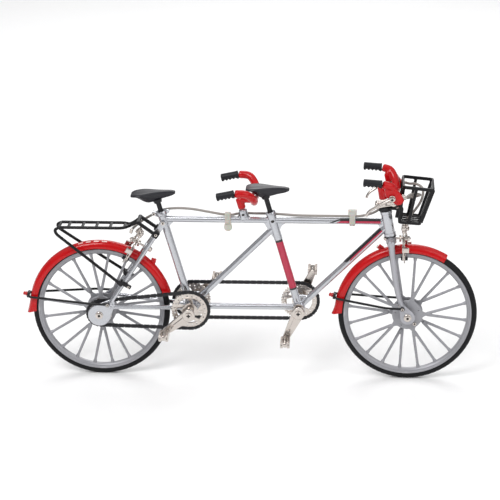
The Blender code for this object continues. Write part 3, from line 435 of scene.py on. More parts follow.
def smooth_path(points, steps=6):
    """Points of a Catmull-Rom curve through the given points."""
    ends = [points[0] * 2 - points[1]] + list(points) + [points[-1] * 2 - points[-2]]
    path = []
    for i in range(1, len(ends) - 2):
        before, start, stop, after = ends[i - 1:i + 3]
        for k in range(steps):
            t = k / steps
            path.append(0.5 * (2 * start + (stop - before) * t
                               + (2 * before - 5 * start + 4 * stop - after) * t * t
                               + (3 * start - before - 3 * stop + after) * t ** 3))
    path.append(points[-1].copy())
    return path


def rounded_path(points, radius, steps=6, closed=False):
    """A line of points with each corner rounded to a radius."""
    path = []
    count = len(points)
    for i, corner in enumerate(points):
        if not closed and i in (0, count - 1):
            path.append(corner.copy())
            continue
        before, after = points[i - 1], points[(i + 1) % count]
        reach = min(radius, (before - corner).length * 0.45, (after - corner).length * 0.45)
        start = corner + (before - corner).normalized() * reach
        stop = corner + (after - corner).normalized() * reach
        for k in range(steps + 1):
            t = k / steps
            path.append(start * (1 - t) ** 2 + corner * 2 * t * (1 - t) + stop * t * t)
    return path


def sweep(name, points, section, up=Z, closed=False):
    """A body whose outline section(i), in (sideways, up) offsets, runs along the points."""
    count = len(points)
    side = None
    rings = []
    for i, point in enumerate(points):
        before = points[i - 1] if i > 0 or closed else points[0]
        after = points[(i + 1) % count] if i < count - 1 or closed else points[-1]
        heading = (after - before).normalized()
        side = heading.cross(up) if side is None else side
        side = (side - heading * side.dot(heading)).normalized()
        over = side.cross(heading)
        rings.append([point + side * u + over * v for u, v in section(i)])
    return loft(name, rings, closed)


def circle(radius, sides, u=0.0, v=0.0):
    step = math.tau / sides
    return [(u + radius * math.cos(i * step), v + radius * math.sin(i * step))
            for i in range(sides)]


def box_outline(width, height, round_off=0.25):
    """A rectangle with cut corners; round_off is the share of the smaller half side."""
    a, b = width / 2, height / 2
    c = min(a, b) * round_off
    return [(a, -b + c), (a, b - c), (a - c, b), (-a + c, b), (-a, b - c), (-a, -b + c),
            (-a + c, -b), (a - c, -b)]


def bar(name, points, radius, end_radius=None, sides=20, chamfer=0.3):
    """A round bar along points, tapering evenly to end_radius, with softened ends."""
    points = list(points)
    last_radius = radius if end_radius is None else end_radius
    softened = chamfer > 0
    if softened:
        head = points[0] + (points[1] - points[0]).normalized() * radius * chamfer
        tail = points[-1] + (points[-2] - points[-1]).normalized() * last_radius * chamfer
        points[1:1] = [head]
        points[-1:-1] = [tail]
    run = [0.0]
    for a, b in zip(points, points[1:]):
        run.append(run[-1] + (b - a).length)
    count = len(points)

    def section(i):
        r = radius + (last_radius - radius) * run[i] / run[-1]
        if softened and i in (0, count - 1):
            r *= 1 - chamfer
        return circle(r, sides)

    heading = points[1] - points[0]
    up = Z if abs(heading.normalized().z) < 0.95 else X
    return sweep(name, points, section, up)


def rod(name, start, end, radius, sides=20, end_radius=None, chamfer=0.2):
    return bar(name, [start, end], radius, end_radius, sides, chamfer=chamfer)


def across(name, centre, y_from, y_to, radius, sides=28, chamfer=0.12):
    """A cylinder along Y at a centre, between two sideways positions."""
    start, end = Vector((centre.x, y_from, centre.z)), Vector((centre.x, y_to, centre.z))
    edge = Y * math.copysign(min(radius * chamfer, abs(y_to - y_from) * 0.3), y_to - y_from)
    slim = radius - edge.length
    stations = ((start, slim), (start + edge, radius), (end - edge, radius), (end, slim))
    if not chamfer:
        stations = ((start, radius), (end, radius))
    return loft(name, [[point + X * u + Z * v for u, v in circle(r, sides)]
                       for point, r in stations])


def turned(name, profile, centre, axis=Y, steps=40, ring=False, unit=MM):
    """A body turned about an axis through centre, from (radius, distance along axis) points."""
    turn = Z.rotation_difference(axis).to_matrix()
    rings = [[centre + turn @ Vector((u, v, along * unit))
              for u, v in circle(radius * unit, steps)] for radius, along in profile]
    return loft(name, rings, closed=ring)


def slab(name, outlines, thickness, matrix, bevel=0.0):
    """A flat plate with softened edges from closed outlines; inner outlines are its holes."""
    curve = bpy.data.curves.new(name, "CURVE")
    curve.dimensions = "2D"
    curve.fill_mode = "BOTH"
    curve.extrude = thickness / 2 - bevel
    curve.bevel_depth = bevel
    curve.bevel_resolution = 1
    curve.offset = -bevel
    for outline in outlines:
        spline = curve.splines.new("POLY")
        spline.points.add(len(outline) - 1)
        spline.use_cyclic_u = True
        for i, (u, v) in enumerate(outline):
            spline.points[i].co = (u, v, 0.0, 1.0)
    return baked(add_object(name, curve, matrix))


SIDE_VIEW = Matrix.Rotation(math.radians(90), 4, "X")
END_VIEW = Matrix(((0, 0, 1, 0), (1, 0, 0, 0), (0, 1, 0, 0), (0, 0, 0, 1)))


def side_slab(name, outlines, y_centre, thickness, bevel=0.12 * MM):
    """A plate whose outlines are (x, z) points."""
    return slab(name, outlines, thickness, Matrix.Translation((0, y_centre, 0)) @ SIDE_VIEW, bevel)


def facing(centre, axis):
    """The matrix of a plate at centre whose face looks along axis."""
    return Matrix.Translation(centre) @ Z.rotation_difference(axis).to_matrix().to_4x4()


def block(name, size, centre, turn_y_deg=0.0, bevel=0.2 * MM):
    """A box with rounded edges."""
    bm = bmesh.new()
    bmesh.ops.create_cube(bm, size=1.0)
    bmesh.ops.scale(bm, vec=size, verts=bm.verts)
    bmesh.ops.bevel(bm, geom=bm.edges[:], offset=bevel, segments=3, affect="EDGES", profile=0.5)
    mesh = bpy.data.meshes.new(name)
    bm.to_mesh(mesh)
    bm.free()
    mesh.transform(Matrix.Translation(centre) @ Matrix.Rotation(math.radians(turn_y_deg), 4, "Y"))
    return add_object(name, mesh)


def belt(first, first_r, second, second_r, count=16):
    """The outline of a belt round two circles given by (u, v) centres."""
    du, dv = second[0] - first[0], second[1] - first[1]
    heading = math.atan2(dv, du)
    spread = math.acos((first_r - second_r) / math.hypot(du, dv))
    outline = []
    for i in range(count + 1):
        angle = heading + spread + (math.tau - 2 * spread) * i / count
        outline.append((first[0] + first_r * math.cos(angle), first[1] + first_r * math.sin(angle)))
    for i in range(count + 1):
        angle = heading - spread + 2 * spread * i / count
        outline.append((second[0] + second_r * math.cos(angle),
                        second[1] + second_r * math.sin(angle)))
    return outline


def joined(name, pieces):
    """One object out of several meshes."""
    bm = bmesh.new()
    for piece in pieces:
        mesh = piece.data.copy()
        mesh.transform(piece.matrix_world)
        bm.from_mesh(mesh)
        bpy.data.objects.remove(piece, do_unlink=True)
    mesh = bpy.data.meshes.new(name)
    bm.to_mesh(mesh)
    bm.free()
    return add_object(name, mesh)


def cast(name, pieces, voxel=CAST_VOXEL, rounds=14):
    """One casting out of overlapping bodies, with small fillets where they meet."""
    body = joined(name, pieces)
    remesh = body.modifiers.new("Cast", "REMESH")
    remesh.mode = "VOXEL"
    remesh.voxel_size = voxel
    smooth = body.modifiers.new("Fillet", "SMOOTH")
    smooth.factor = 0.5
    smooth.iterations = rounds
    body = baked(body)
    body.name = name
    return body


def carved(body, tools):
    """A body less the overlapping tools."""
    name = body.name
    tool = joined("tool", tools)
    cut = body.modifiers.new("Carve", "BOOLEAN")
    cut.operation = "DIFFERENCE"
    cut.solver = "EXACT"
    cut.use_self = True
    cut.object = tool
    body = baked(body)
    bpy.data.objects.remove(tool, do_unlink=True)
    body.name = name
    return body


def polar(centre, radius, degrees):
    angle = math.radians(degrees)
    return centre + Vector((radius * math.cos(angle), 0, radius * math.sin(angle)))


def flat(point):
    return (point.x, point.z)


FINISH = palette()


def polish(obj, finish, sharp):
    """Give a piece its finish, smooth except at edges sharper than so many degrees."""
    obj.data.materials.clear()
    obj.data.materials.append(FINISH[finish])
    obj.data.shade_smooth()
    obj.data.set_sharp_from_angle(angle=math.radians(sharp))


def dress(obj, body, finish, *nodes, slot=None, sharp=32):
    """Give a piece its finish and its body, and say which CAD nodes it stands for."""
    polish(obj, finish, sharp)
    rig.slot(obj, slot or finish)
    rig.ride(obj, body)
    if nodes:
        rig.replaces(obj, *nodes)
    return obj


def plus_outline(size):
    """The outline of a cross recess."""
    a, b = size, size * 0.32
    return [(a, -b), (a, b), (b, b), (b, a), (-b, a), (-b, b), (-a, b), (-a, -b), (-b, -b),
            (-b, -a), (b, -a), (b, -b)]


def screw(name, centre, axis, radius, height, body, recess="hex"):
    """A screw head whose face looks along axis, with a real recess, standing on centre; the recess floor is a
    near-black disc of painted shade.
    """
    axis, radius, height = axis.normalized(), radius * MM, height * MM
    hole = circle(radius * 0.45, 6) if recess == "hex" else plus_outline(radius * 0.55)
    ring = slab("ring", [circle(radius, 28), hole], height, facing(centre + axis * height / 2, axis),
                min(height, radius) * 0.18)
    # The floor disc is near-black painted shade; the real recess floor is nickel.
    floor = slab("floor", [circle(radius * 0.8, 20)], height * 0.35,
                 facing(centre + axis * height * 0.2, axis))
    dress(joined(name, [ring]), body, "nickel")
    dress(floor, body, "recess", slot="nickel").name = name + "_recess"


# ---------------------------------------------------------------- wheels
HUB_R = 8.0 * MM
HUB_SCREW_RING_R = 6.1 * MM
HUB_HOLE_RING_R = 6.3 * MM
FLANGE_Y = 2.6 * MM
FLANGE_HALF_THICK = 0.55 * MM
SPOKE_PAIRS = 10
SPOKE_LEAN_DEG = 9.0
PETAL_TIP_R = 10.8 * MM
RIM_IN_R = 30.7 * MM
SIPES = 220
SIPE_DEPTH = 0.16
SPROCKET_TEETH = 25
SPROCKET_TIP_R = 6.35 * MM


def hub(prefix, centre, first_pair_deg, barrel_right, barrel_left):
    """The moulded hub with its petals and the spokes that spring from them."""
    pieces = [across("barrel", centre, barrel_right, barrel_left, 2.5 * MM, 40)]
    for side in (-1, 1):
        pieces.append(across("flange", centre, side * (FLANGE_Y - FLANGE_HALF_THICK),
                             side * (FLANGE_Y + FLANGE_HALF_THICK), HUB_R, 72))
    for pair in range(SPOKE_PAIRS):
        middle = first_pair_deg + pair * 360.0 / SPOKE_PAIRS
        side = -1 if pair % 2 == 0 else 1
        petal = [flat(polar(centre, r, middle + swing)) for r, swing in (
            (7.3 * MM, -21), (8.3 * MM, -10), (9.4 * MM, -5.2), (10.6 * MM, -3.6),
            (PETAL_TIP_R + 0.2 * MM, 0), (10.6 * MM, 3.6), (9.4 * MM, 5.2), (8.3 * MM, 10),
            (7.3 * MM, 21))]
        pieces.append(side_slab("petal", [petal], side * (FLANGE_Y - 0.1 * MM), 1.0 * MM))
        for lean in (-1, 1):
            root = polar(centre, PETAL_TIP_R - 0.8 * MM, middle + lean * 2.0)
            root.y = side * (FLANGE_Y - 0.3 * MM)
            tip = polar(centre, RIM_IN_R + 0.7 * MM, middle + lean * SPOKE_LEAN_DEG)
            pieces.append(rod("spoke", root, tip, 0.8 * MM, 12, 0.7 * MM))
            sleeve = tip.lerp(root, 0.105)
            pieces.append(rod("nipple", sleeve, tip, 0.85 * MM, 12, 1.15 * MM))
    spider = cast(prefix + "_hub", pieces, 0.23 * MM, 6)
    holes = []
    for pair in range(SPOKE_PAIRS // 2):
        spot = polar(centre, HUB_HOLE_RING_R,
                     first_pair_deg + (pair * 2 + 0.62) * 360.0 / SPOKE_PAIRS)
        holes.append(across("hole", spot, -12 * MM, 12 * MM, 0.38 * MM, 12, chamfer=0))
    return carved(spider, holes)


def wheel(prefix, centre, first_pair_deg, barrel_right, barrel_left, body):
    dress(hub(prefix, centre, first_pair_deg, barrel_right, barrel_left), body,
          "wheel_grey", prefix + "_wheel")
    half = [(33.3, -0.9), (33.3, -1.7), (33.12, -1.88), (32.35, -1.9), (32.2, -1.74), (31.5, -1.62),
            (31.05, -1.25), (30.72, -0.85)]
    section = half + [(r, -y) for r, y in reversed(half)]
    rim = turned(prefix + "_rim", section, centre, Y, 144, ring=True)
    dress(rim, body, "wheel_grey", sharp=24)
    dress(tyre(prefix, centre), body, "tyre_black", prefix + "_tyre", sharp=50)


def tyre(prefix, centre):
    """A tyre with a smooth flank, a shoulder rib and slanted sipes across its tread."""
    half = [(33.32, -1.5), (33.38, -1.98), (33.8, -2.18), (34.4, -2.2), (34.95, -2.1), (35.3, -1.9),
            (35.55, -1.62), (35.76, -1.3), (35.9, -0.95), (35.97, -0.6), (36.0, -0.3)]
    profile = half + [(36.0, 0.0)] + [(r, -y) for r, y in reversed(half)]
    rings = []
    for step in range(SIPES):
        angle = math.tau * step / SIPES
        ring = []
        for r, y in profile:
            slant = step + round(abs(y) * 1.6)
            on_tread = 0.25 < abs(y) < 1.95 and r > 34.9
            cut = SIPE_DEPTH if on_tread and slant % 3 == 0 else 0.0
            reach = (r - cut) * MM
            ring.append(centre + Vector((reach * math.cos(angle), y * MM, reach * math.sin(angle))))
        rings.append(ring)
    return loft(prefix + "_tyre_tread", rings, closed=True)


def hub_screws(prefix, centre, body, angles):
    """Small cross screws on both flanges."""
    for side, hand in SIDES:
        for k, angle in enumerate(angles):
            spot = polar(centre, HUB_SCREW_RING_R, angle) + Y * side * (FLANGE_Y + 0.5 * MM)
            screw(f"{prefix}_hub_screw_{k}_{hand}", spot, Y * side, 0.95, 0.55, body, "cross")


def axle(prefix, centre, half_length, body):
    """The through screw: a washer and a hex socket head at each end."""
    shaft = across(prefix + "_axle_shaft", centre, -half_length, half_length, 0.95 * MM, 24)
    dress(shaft, body, "nickel", prefix + "_axle")
    for side, hand in SIDES:
        face = centre + Y * side * half_length
        washer = turned(f"{prefix}_axle_washer_{hand}",
                        [(0.9, 0.0), (2.0, 0.0), (2.0, 0.18), (1.85, 0.28),
                         (0.9, 0.28)], face, Y * side, 36, True)
        dress(washer, body, "nickel")
        screw(f"{prefix}_axle_screw_{hand}", face + Y * side * 0.22 * MM, Y * side, 1.55,
              0.75, body)


def wheels():
    wheel("rear", REAR_AXLE, 18.3, -6.1 * MM, 8.9 * MM, "rear_wheel_set")
    wheel("front", FRONT_AXLE, 2.5, -5.1 * MM, 5.1 * MM, "front_wheel_set")
    hub_screws("rear", REAR_AXLE, "rear_wheel_set", (100.0, 280.0))
    hub_screws("front", FRONT_AXLE, "front_wheel_set", (128.0, 308.0))
    axle("rear", REAR_AXLE, 10.65 * MM, "frame")
    axle("front", FRONT_AXLE, 7.7 * MM, "steering")
    disc = gear("rear_sprocket_teeth", REAR_AXLE, SPROCKET_TEETH, SPROCKET_TIP_R, DRIVE_PLANE_Y,
                [circle(1.4 * MM, 20)])
    boss = turned("rear_sprocket_boss", [(1.3, 0), (3.6, 0), (3.4, 0.5), (2.3, 0.7), (2.2, 1.6),
                                         (1.3, 1.6)],
                  REAR_AXLE + Y * (DRIVE_PLANE_Y - 0.3 * MM), -Y, 36, True)
    dress(joined("rear_sprocket_disc", [disc, boss]), "rear_wheel_set", "nickel", "rear_sprocket")


# ---------------------------------------------------------------- frame
def web(name, corners, y_half):
    """A filleted web between tubes, from (x, z) corners in millimetres."""
    return side_slab(name, [[(x * MM, z * MM) for x, z in corners]], 0.0, 2 * y_half * MM)


def sleeve(name, start, end, radius, bore, end_radius=None):
    """A straight tube with clean walls and softened ends."""
    length, edge = (end - start).length, 0.1 * MM
    last = end_radius or radius
    profile = [(bore, 0.0), (radius - edge, 0.0), (radius, edge), (last, length - edge),
               (last - edge, length), (bore, length)]
    return turned(name, profile, start, (end - start).normalized(), 40, ring=True, unit=1.0)


def clean_tubes():
    """The frame's drawn tubes, whose walls are true outside the filleted corners."""
    inside_shell = 2.7 * MM
    stoker_low = STOKER_BB - STOKER_SEAT_DOWN * inside_shell
    captain_low = CAPTAIN_BB - CAPTAIN_SEAT_DOWN * inside_shell
    down_start = at(148.6, 0, 83.9)
    down_end = CAPTAIN_BB + (down_start - CAPTAIN_BB).normalized() * inside_shell
    lateral_start = at(91.0, 0, 82.4)
    lateral_end = STOKER_BB + (lateral_start - STOKER_BB).normalized() * inside_shell
    top_r, wall, seat_bore = TUBE_R + 0.04 * MM, 0.5 * MM, 1.5 * MM
    along = (CAPTAIN_BB - STOKER_BB).normalized() * inside_shell
    tubes = [
        sleeve("head", HEAD_BOTTOM + STEERING_AXIS * MM, HEAD_TOP - STEERING_AXIS * MM,
               2.8 * MM, 1.9 * MM),
        sleeve("head_low", HEAD_BOTTOM, HEAD_BOTTOM + STEERING_AXIS * 1.6 * MM, 3.15 * MM,
               1.9 * MM),
        sleeve("head_high", HEAD_TOP - STEERING_AXIS * 1.6 * MM, HEAD_TOP, 3.15 * MM, 1.9 * MM),
        sleeve("seat_c", CAPTAIN_SEAT_TOP, captain_low, SEAT_TUBE_R, seat_bore),
        sleeve("lug_c", CAPTAIN_SEAT_TOP, CAPTAIN_SEAT_TOP + CAPTAIN_SEAT_DOWN * 15.4 * MM,
               2.38 * MM, seat_bore, 2.2 * MM),
        sleeve("seat_s", STOKER_SEAT_TOP, stoker_low, SEAT_TUBE_R + 0.04 * MM, seat_bore),
        sleeve("lug_s", STOKER_SEAT_TOP, STOKER_SEAT_TOP + STOKER_SEAT_DOWN * 7 * MM, 2.32 * MM,
               seat_bore),
        sleeve("down", down_start - STEERING_AXIS * 0.5 * MM, down_end, top_r, wall),
        sleeve("boom", STOKER_BB + along, CAPTAIN_BB - along, BOOM_R, wall),
        sleeve("lateral", lateral_start, lateral_end, LATERAL_R, wall),
        sleeve("top_rear", at(34.6, 0, 86), at(86.8, 0, 86), top_r, wall),
        sleeve("top_front", at(90.8, 0, 86), at(145.9, 0, 86), top_r, wall)]
    stay_r = STAY_R + 0.02 * MM
    for side in (-1, 1):
        tubes.append(rod("seat_stay", at(33.0, side * 1.93, 83.1), at(6.2, side * 9.8, 43.2),
                         stay_r, 24))
        tubes.append(rod("chain_stay", at(5.6, side * 9.8, 40.6), at(43.0, side * 3.4, 38.5),
                         stay_r, 24))
        for name, shell in (("shell_s", STOKER_BB), ("shell_c", CAPTAIN_BB)):
            tubes.append(sleeve(name, shell + Y * side * 4.2 * MM, shell + Y * side * 1.0 * MM,
                                3.22 * MM, 1.6 * MM))
    return tubes


def frame_casting():
    """The one-piece frame, with webs in the corners where its tubes meet."""
    seat_low_s = STOKER_SEAT_TOP + STOKER_SEAT_DOWN * 7 * MM
    seat_low_c = CAPTAIN_SEAT_TOP + CAPTAIN_SEAT_DOWN * 15.5 * MM
    head_dir = STEERING_AXIS
    pieces = [
        rod("head", HEAD_BOTTOM, HEAD_TOP, 2.65 * MM, 40, chamfer=0.06),
        rod("head_low", HEAD_BOTTOM, HEAD_BOTTOM + head_dir * 1.6 * MM, 3.0 * MM, 40, chamfer=0.1),
        rod("head_high", HEAD_TOP - head_dir * 1.6 * MM, HEAD_TOP, 3.0 * MM, 40, chamfer=0.1),
        rod("top", at(32.5, 0, 86), at(148.2, 0, 86), TUBE_R - CORE_INSET, 28),
        rod("down", at(148.6, 0, 83.9), CAPTAIN_BB, TUBE_R - CORE_INSET, 28),
        rod("seat_c", CAPTAIN_SEAT_TOP, CAPTAIN_BB, SEAT_TUBE_R - CORE_INSET, 32),
        rod("lug_c", CAPTAIN_SEAT_TOP, seat_low_c, 2.25 * MM, 32, 2.1 * MM, chamfer=0.1),
        rod("seat_s", STOKER_SEAT_TOP, STOKER_BB, SEAT_TUBE_R - CORE_INSET, 32),
        rod("lug_s", STOKER_SEAT_TOP, seat_low_s, 2.2 * MM, 32, chamfer=0.1),
        rod("boom", STOKER_BB, CAPTAIN_BB, BOOM_R - CORE_INSET, 28),
        rod("lateral", at(91.0, 0, 82.4), STOKER_BB, LATERAL_R - CORE_INSET, 28),
        across("shell_s", STOKER_BB, -4.2 * MM, 4.2 * MM, 3.1 * MM, 48),
        across("shell_c", CAPTAIN_BB, -4.2 * MM, 4.2 * MM, 3.1 * MM, 48),
        rod("socket", at(74.4, 0, 91.6), at(75.6, 0, 86.4), 2.2 * MM, 36, 2.5 * MM, chamfer=0.1),
        across("bridge", at(23.9, 0, 70.5), -4.6 * MM, 4.6 * MM, 1.0 * MM, 20),
        web("web_1", [(85.0, 85.4), (90.4, 85.4), (92.4, 77.6), (90.4, 76.6), (88.6, 79.0)], 1.0),
        web("web_2", [(91.0, 85.4), (96.6, 84.6), (94.6, 83.0), (93.2, 79.6), (92.0, 79.0)], 0.9),
        web("web_3", [(33.0, 84.6), (38.8, 84.6), (37.0, 82.8), (35.8, 79.4), (34.6, 79.4)], 0.9),
        web("web_4", [(143.8, 84.6), (148.4, 84.6), (148.4, 81.4), (145.6, 82.2)], 0.9),
        web("web_5", [(71.0, 86.6), (72.6, 88.6), (77.4, 88.6), (79.0, 86.6)], 1.1),
        web("web_6", [(47.0, 38.3), (51.8, 46.4), (46.4, 46.0), (44.6, 44.0)], 0.9),
        web("web_7", [(103.5, 38.5), (109.6, 45.0), (104.0, 45.2), (101.6, 43.8)], 0.9),
    ]
    for side in (-1, 1):
        stay_low = at(6.2, side * 9.8, 43.2)
        pieces.append(rod("seat_stay", at(33.6, side * 1.8, 84.0), stay_low, STAY_R - CORE_INSET, 22))
        pieces.append(rod("chain_stay", at(5.6, side * 9.8, 40.6), at(45.5, side * 3.0, 38.4),
                          STAY_R - CORE_INSET, 22))
        disc_r = 6.0 * MM if side < 0 else 4.0 * MM
        outline = belt(flat(REAR_AXLE), disc_r, (6.2 * MM, 42.6 * MM), 2.2 * MM, 30)
        pieces.append(side_slab("dropout", [outline], side * DROPOUT_Y, 1.2 * MM, 0.2 * MM))
        pieces.append(side_slab("stay_eye", [belt((4.6 * MM, 42.3 * MM), 1.25 * MM,
                                                  (6.2 * MM, 41.0 * MM), 1.6 * MM)],
                                side * 10.2 * MM, 1.0 * MM))
    body = cast("frame_casting", pieces, 0.24 * MM, 20)
    bores = [rod("bore", STOKER_SEAT_TOP - STOKER_SEAT_DOWN * MM,
                 STOKER_SEAT_TOP + STOKER_SEAT_DOWN * 15 * MM, 1.55 * MM, 32, chamfer=0),
             rod("bore", CAPTAIN_SEAT_TOP - CAPTAIN_SEAT_DOWN * MM,
                 CAPTAIN_SEAT_TOP + CAPTAIN_SEAT_DOWN * 15 * MM, 1.55 * MM, 32, chamfer=0),
             rod("bore", HEAD_BOTTOM - head_dir * 2 * MM, HEAD_TOP + head_dir * 2 * MM,
                 1.8 * MM, 32, chamfer=0),
             across("bore", STOKER_BB, -8 * MM, 8 * MM, 1.6 * MM, 28, chamfer=0),
             across("bore", CAPTAIN_BB, -8 * MM, 8 * MM, 1.6 * MM, 28, chamfer=0),
             across("bore", REAR_AXLE, -15 * MM, 15 * MM, 1.2 * MM, 28, chamfer=0)]
    return joined("frame_casting", [carved(body, bores)] + clean_tubes())


PAINT_SKIN = 0.05 * MM


def wrap(name, start, end, radius, from_deg, to_deg, lead_start, lead_end):
    """A thin painted band on a tube; a lead slants that end by so much from side to side."""
    axis = (end - start).normalized()
    side = axis.cross(Z).normalized()
    over = side.cross(axis)
    steps = 20
    rings = []
    for k in range(steps + 1):
        share = k / steps
        angle = math.radians(from_deg + (to_deg - from_deg) * share)
        out = side * math.cos(angle) + over * math.sin(angle)
        near = start + axis * lead_start * share
        far = end + axis * lead_end * share
        rings.append([near + out * radius, near + out * (radius + PAINT_SKIN),
                      far + out * (radius + PAINT_SKIN), far + out * radius])
    return loft(name, rings)


def full_band(name, start, end, radius):
    """A painted band all the way round a tube."""
    length, skin_r = (end - start).length, radius + PAINT_SKIN
    profile = [(radius, 0.0), (skin_r, 0.0), (skin_r, length), (radius, length)]
    return turned(name, profile, start, (end - start).normalized(), 40, ring=True, unit=1.0)


PAINT_SLOT = {"crimson": "gloss_red", "stripe_black": "satin_black"}


def painted(obj, finish):
    """Put paint on the frame, filed under the record's slot of the same colour."""
    dress(obj, "frame", finish, slot=PAINT_SLOT[finish])


def frame_paint():
    """The crimson seat tube between two black rings, and the stripes behind the head tube."""
    on_tube = SEAT_TUBE_R - 0.01 * MM
    marks = [CAPTAIN_SEAT_TOP + CAPTAIN_SEAT_DOWN * d * MM for d in (15.4, 16.6, 42.6, 43.6)]
    bands = (("ring_upper", "stripe_black"), ("band", "crimson"), ("ring_lower", "stripe_black"))
    for (part, finish), start, end in zip(bands, marks, marks[1:]):
        painted(full_band(f"seat_tube_{part}", start, end, on_tube), finish)
    on_top = TUBE_R + 0.03 * MM
    top_end, down_start = at(145.4, 0, 86), at(148.6, 0, 83.9)
    down = (CAPTAIN_BB - down_start).normalized()
    high_edge, low_edge = down_start + down * 3.4 * MM, down_start + down * 28.0 * MM
    # Each stripe has its ends, its two angles on the right-hand side and the leads of its ends.
    stripes = (
        ("black", at(124.0, 0, 86), top_end, (17, 68), (2.0, 0.0), "stripe_black"),
        ("crimson", at(122.4, 0, 86), top_end, (-24, 16), (2.6, 0.0), "crimson"),
        ("swoosh", at(118.8, 0, 86), at(120.9, 0, 86), (-24, 68), (6.6, 5.6), "stripe_black"),
        ("low_black", high_edge, low_edge, (165, 116), (0.0, 2.0), "stripe_black"),
        ("low_crimson", high_edge, low_edge, (206, 166), (0.0, -2.4), "crimson"))
    for side, hand in SIDES:
        for part, start, end, angles, leads, finish in stripes:
            low, high = angles if side < 0 else (180 - angles[0], 180 - angles[1])
            painted(wrap(f"stripe_{part}_{hand}", start, end, on_top, low, high, leads[0] * MM,
                         leads[1] * MM), finish)


def frame_fittings():
    """Screws, clamp collar and stay plates of the frame."""
    for side, hand in SIDES:
        # The small plugs on the seat lug and the socket take the near-black recess finish: painted shade of a hollow.
        spot = at(88.7, 0, 86.2) + CAPTAIN_SEAT_DOWN * 0.3 * MM + at(1.2, side * 2.1, 0)
        dress(turned(f"seat_lug_plug_{hand}", [(0.95, -0.5), (0.95, 0.1), (0.6, 0.3), (0.2, 0.34)],
                     spot, Y * side, 24), "frame", "recess", slot="satin_black")
        spot = at(74.9, side * 2.1, 89.2)
        dress(turned(f"socket_plug_{hand}", [(0.75, -0.4), (0.75, 0.12),
                                             (0.4, 0.3)], spot, Y * side, 24),
              "frame", "recess", slot="satin_black")
        plate = side_slab("plate", [belt((33.6 * MM, 84.4 * MM), 1.5 * MM,
                                         (30.9 * MM, 80.0 * MM), 1.25 * MM)],
                          side * 3.15 * MM, 0.8 * MM)
        dress(plate, "frame", "frame_silver").name = f"stay_plate_{hand}"
        screw(f"stay_plate_screw_{hand}", at(33.5, side * 3.5, 84.5), Y * side, 1.0,
              0.45, "frame")
        screw(f"stay_plate_rivet_{hand}", at(31.0, side * 3.5, 80.2), Y * side, 0.7,
              0.4, "frame", "cross")
    top = STOKER_SEAT_TOP
    collar = turned("seat_collar", [(1.75, 0.0), (2.95, 0.0), (3.1, 0.3), (3.1, 2.0), (2.9, 2.3),
                                    (1.75, 2.3)], top - STOKER_SEAT_DOWN * 0.25 * MM,
                    STOKER_SEAT_DOWN, 40, True)
    ear = block("ear", (2.6 * MM, 2.4 * MM, 2.0 * MM), top + at(-3.4, 0, -1.2), 15.9)
    lip = block("lip", (1.8 * MM, 2.0 * MM, 1.5 * MM), top + at(3.5, 0, 0.2), 15.9)
    dress(joined("seat_clamp", [collar, ear, lip]), "frame", "frame_silver")
    screw("seat_clamp_screw", top + at(-3.6, -1.2, -1.2), -Y, 0.85, 0.6, "frame")
    collar_c = turned("captain_collar", [(1.75, 0.0), (2.5, 0.0), (2.62, 0.2), (2.62, 1.2),
                                         (2.4, 1.4), (1.75, 1.4)],
                      CAPTAIN_SEAT_TOP - CAPTAIN_SEAT_DOWN * 0.1 * MM, CAPTAIN_SEAT_DOWN, 40, True)
    dress(collar_c, "frame", "frame_silver")


def bike_frame():
    dress(frame_casting(), "frame", "frame_silver", "frame", sharp=40)
    frame_paint()
    frame_fittings()


# ---------------------------------------------------------------- steering
def on_steering_axis(height):
    """The point of the steering axis at a height in millimetres."""
    return HEAD_BOTTOM + STEERING_AXIS * ((height * MM - HEAD_BOTTOM.z) / STEERING_AXIS.z)


def fork():
    """A faceted crown and two raked blades that run into flat bosses at the wheel's screw."""
    crown_top = HEAD_BOTTOM - STEERING_AXIS * 0.8 * MM
    crown_low = HEAD_BOTTOM - STEERING_AXIS * 4.6 * MM
    shoulder = crown_low + STEERING_AXIS * 1.9 * MM
    pieces = [rod("neck", crown_low, crown_top, 2.75 * MM, 36, chamfer=0.1),
              sweep("crown", [shoulder + at(0, -7.3, -0.5), shoulder + at(0, -5.6, 0.5),
                              shoulder + at(0, 5.6, 0.5), shoulder + at(0, 7.3, -0.5)],
                    lambda i: box_outline(4.0 * MM, (2.6 if i in (0, 3) else 4.0) * MM, 0.5))]
    for side in (-1, 1):
        line = smooth_path([shoulder + at(-0.1, side * 5.9, 1.4), at(152.0, side * 6.0, 66),
                            at(153.4, side * 6.1, 56), at(155.0, side * 6.3, 48),
                            at(157.2, side * 6.5, 42), at(159.2, side * 6.5, 38.6)], 6)
        last = len(line) - 1

        def oval(i, last=last):
            width = (2.0 - 0.75 * i / last) * MM
            return [(u * 0.86, v) for u, v in circle(width, 26)]

        pieces.append(sweep("blade", line, oval, Y))
        pieces.append(side_slab("boss", [belt(flat(FRONT_AXLE), 3.9 * MM, (157.2 * MM, 41.6 * MM),
                                              1.5 * MM, 30)], side * 6.5 * MM, 1.8 * MM, 0.2 * MM))
        pieces.append(across("eyelet", at(156.6, 0, 41.2), side * 6.4 * MM, side * 7.8 * MM,
                             1.2 * MM, 24))
    body = cast("fork_casting", pieces)
    body = carved(body, [across("bore", FRONT_AXLE, -15 * MM, 15 * MM, 1.2 * MM, 28, chamfer=0)])
    steerer = rod("steerer", on_steering_axis(77.0), on_steering_axis(93.3), 1.5 * MM, 28)
    dress(joined("fork_casting", [body, steerer]), "steering", "fork_grey", "fork",
          slot="wheel_grey", sharp=60)
    seal = turned("headset_ring", [(1.8, 0), (3.1, 0), (3.2, 0.15), (3.1, 0.4), (1.8, 0.4)],
                  on_steering_axis(77.9), STEERING_AXIS, 40, True)
    dress(seal, "steering", "satin_black", "headset_lower")


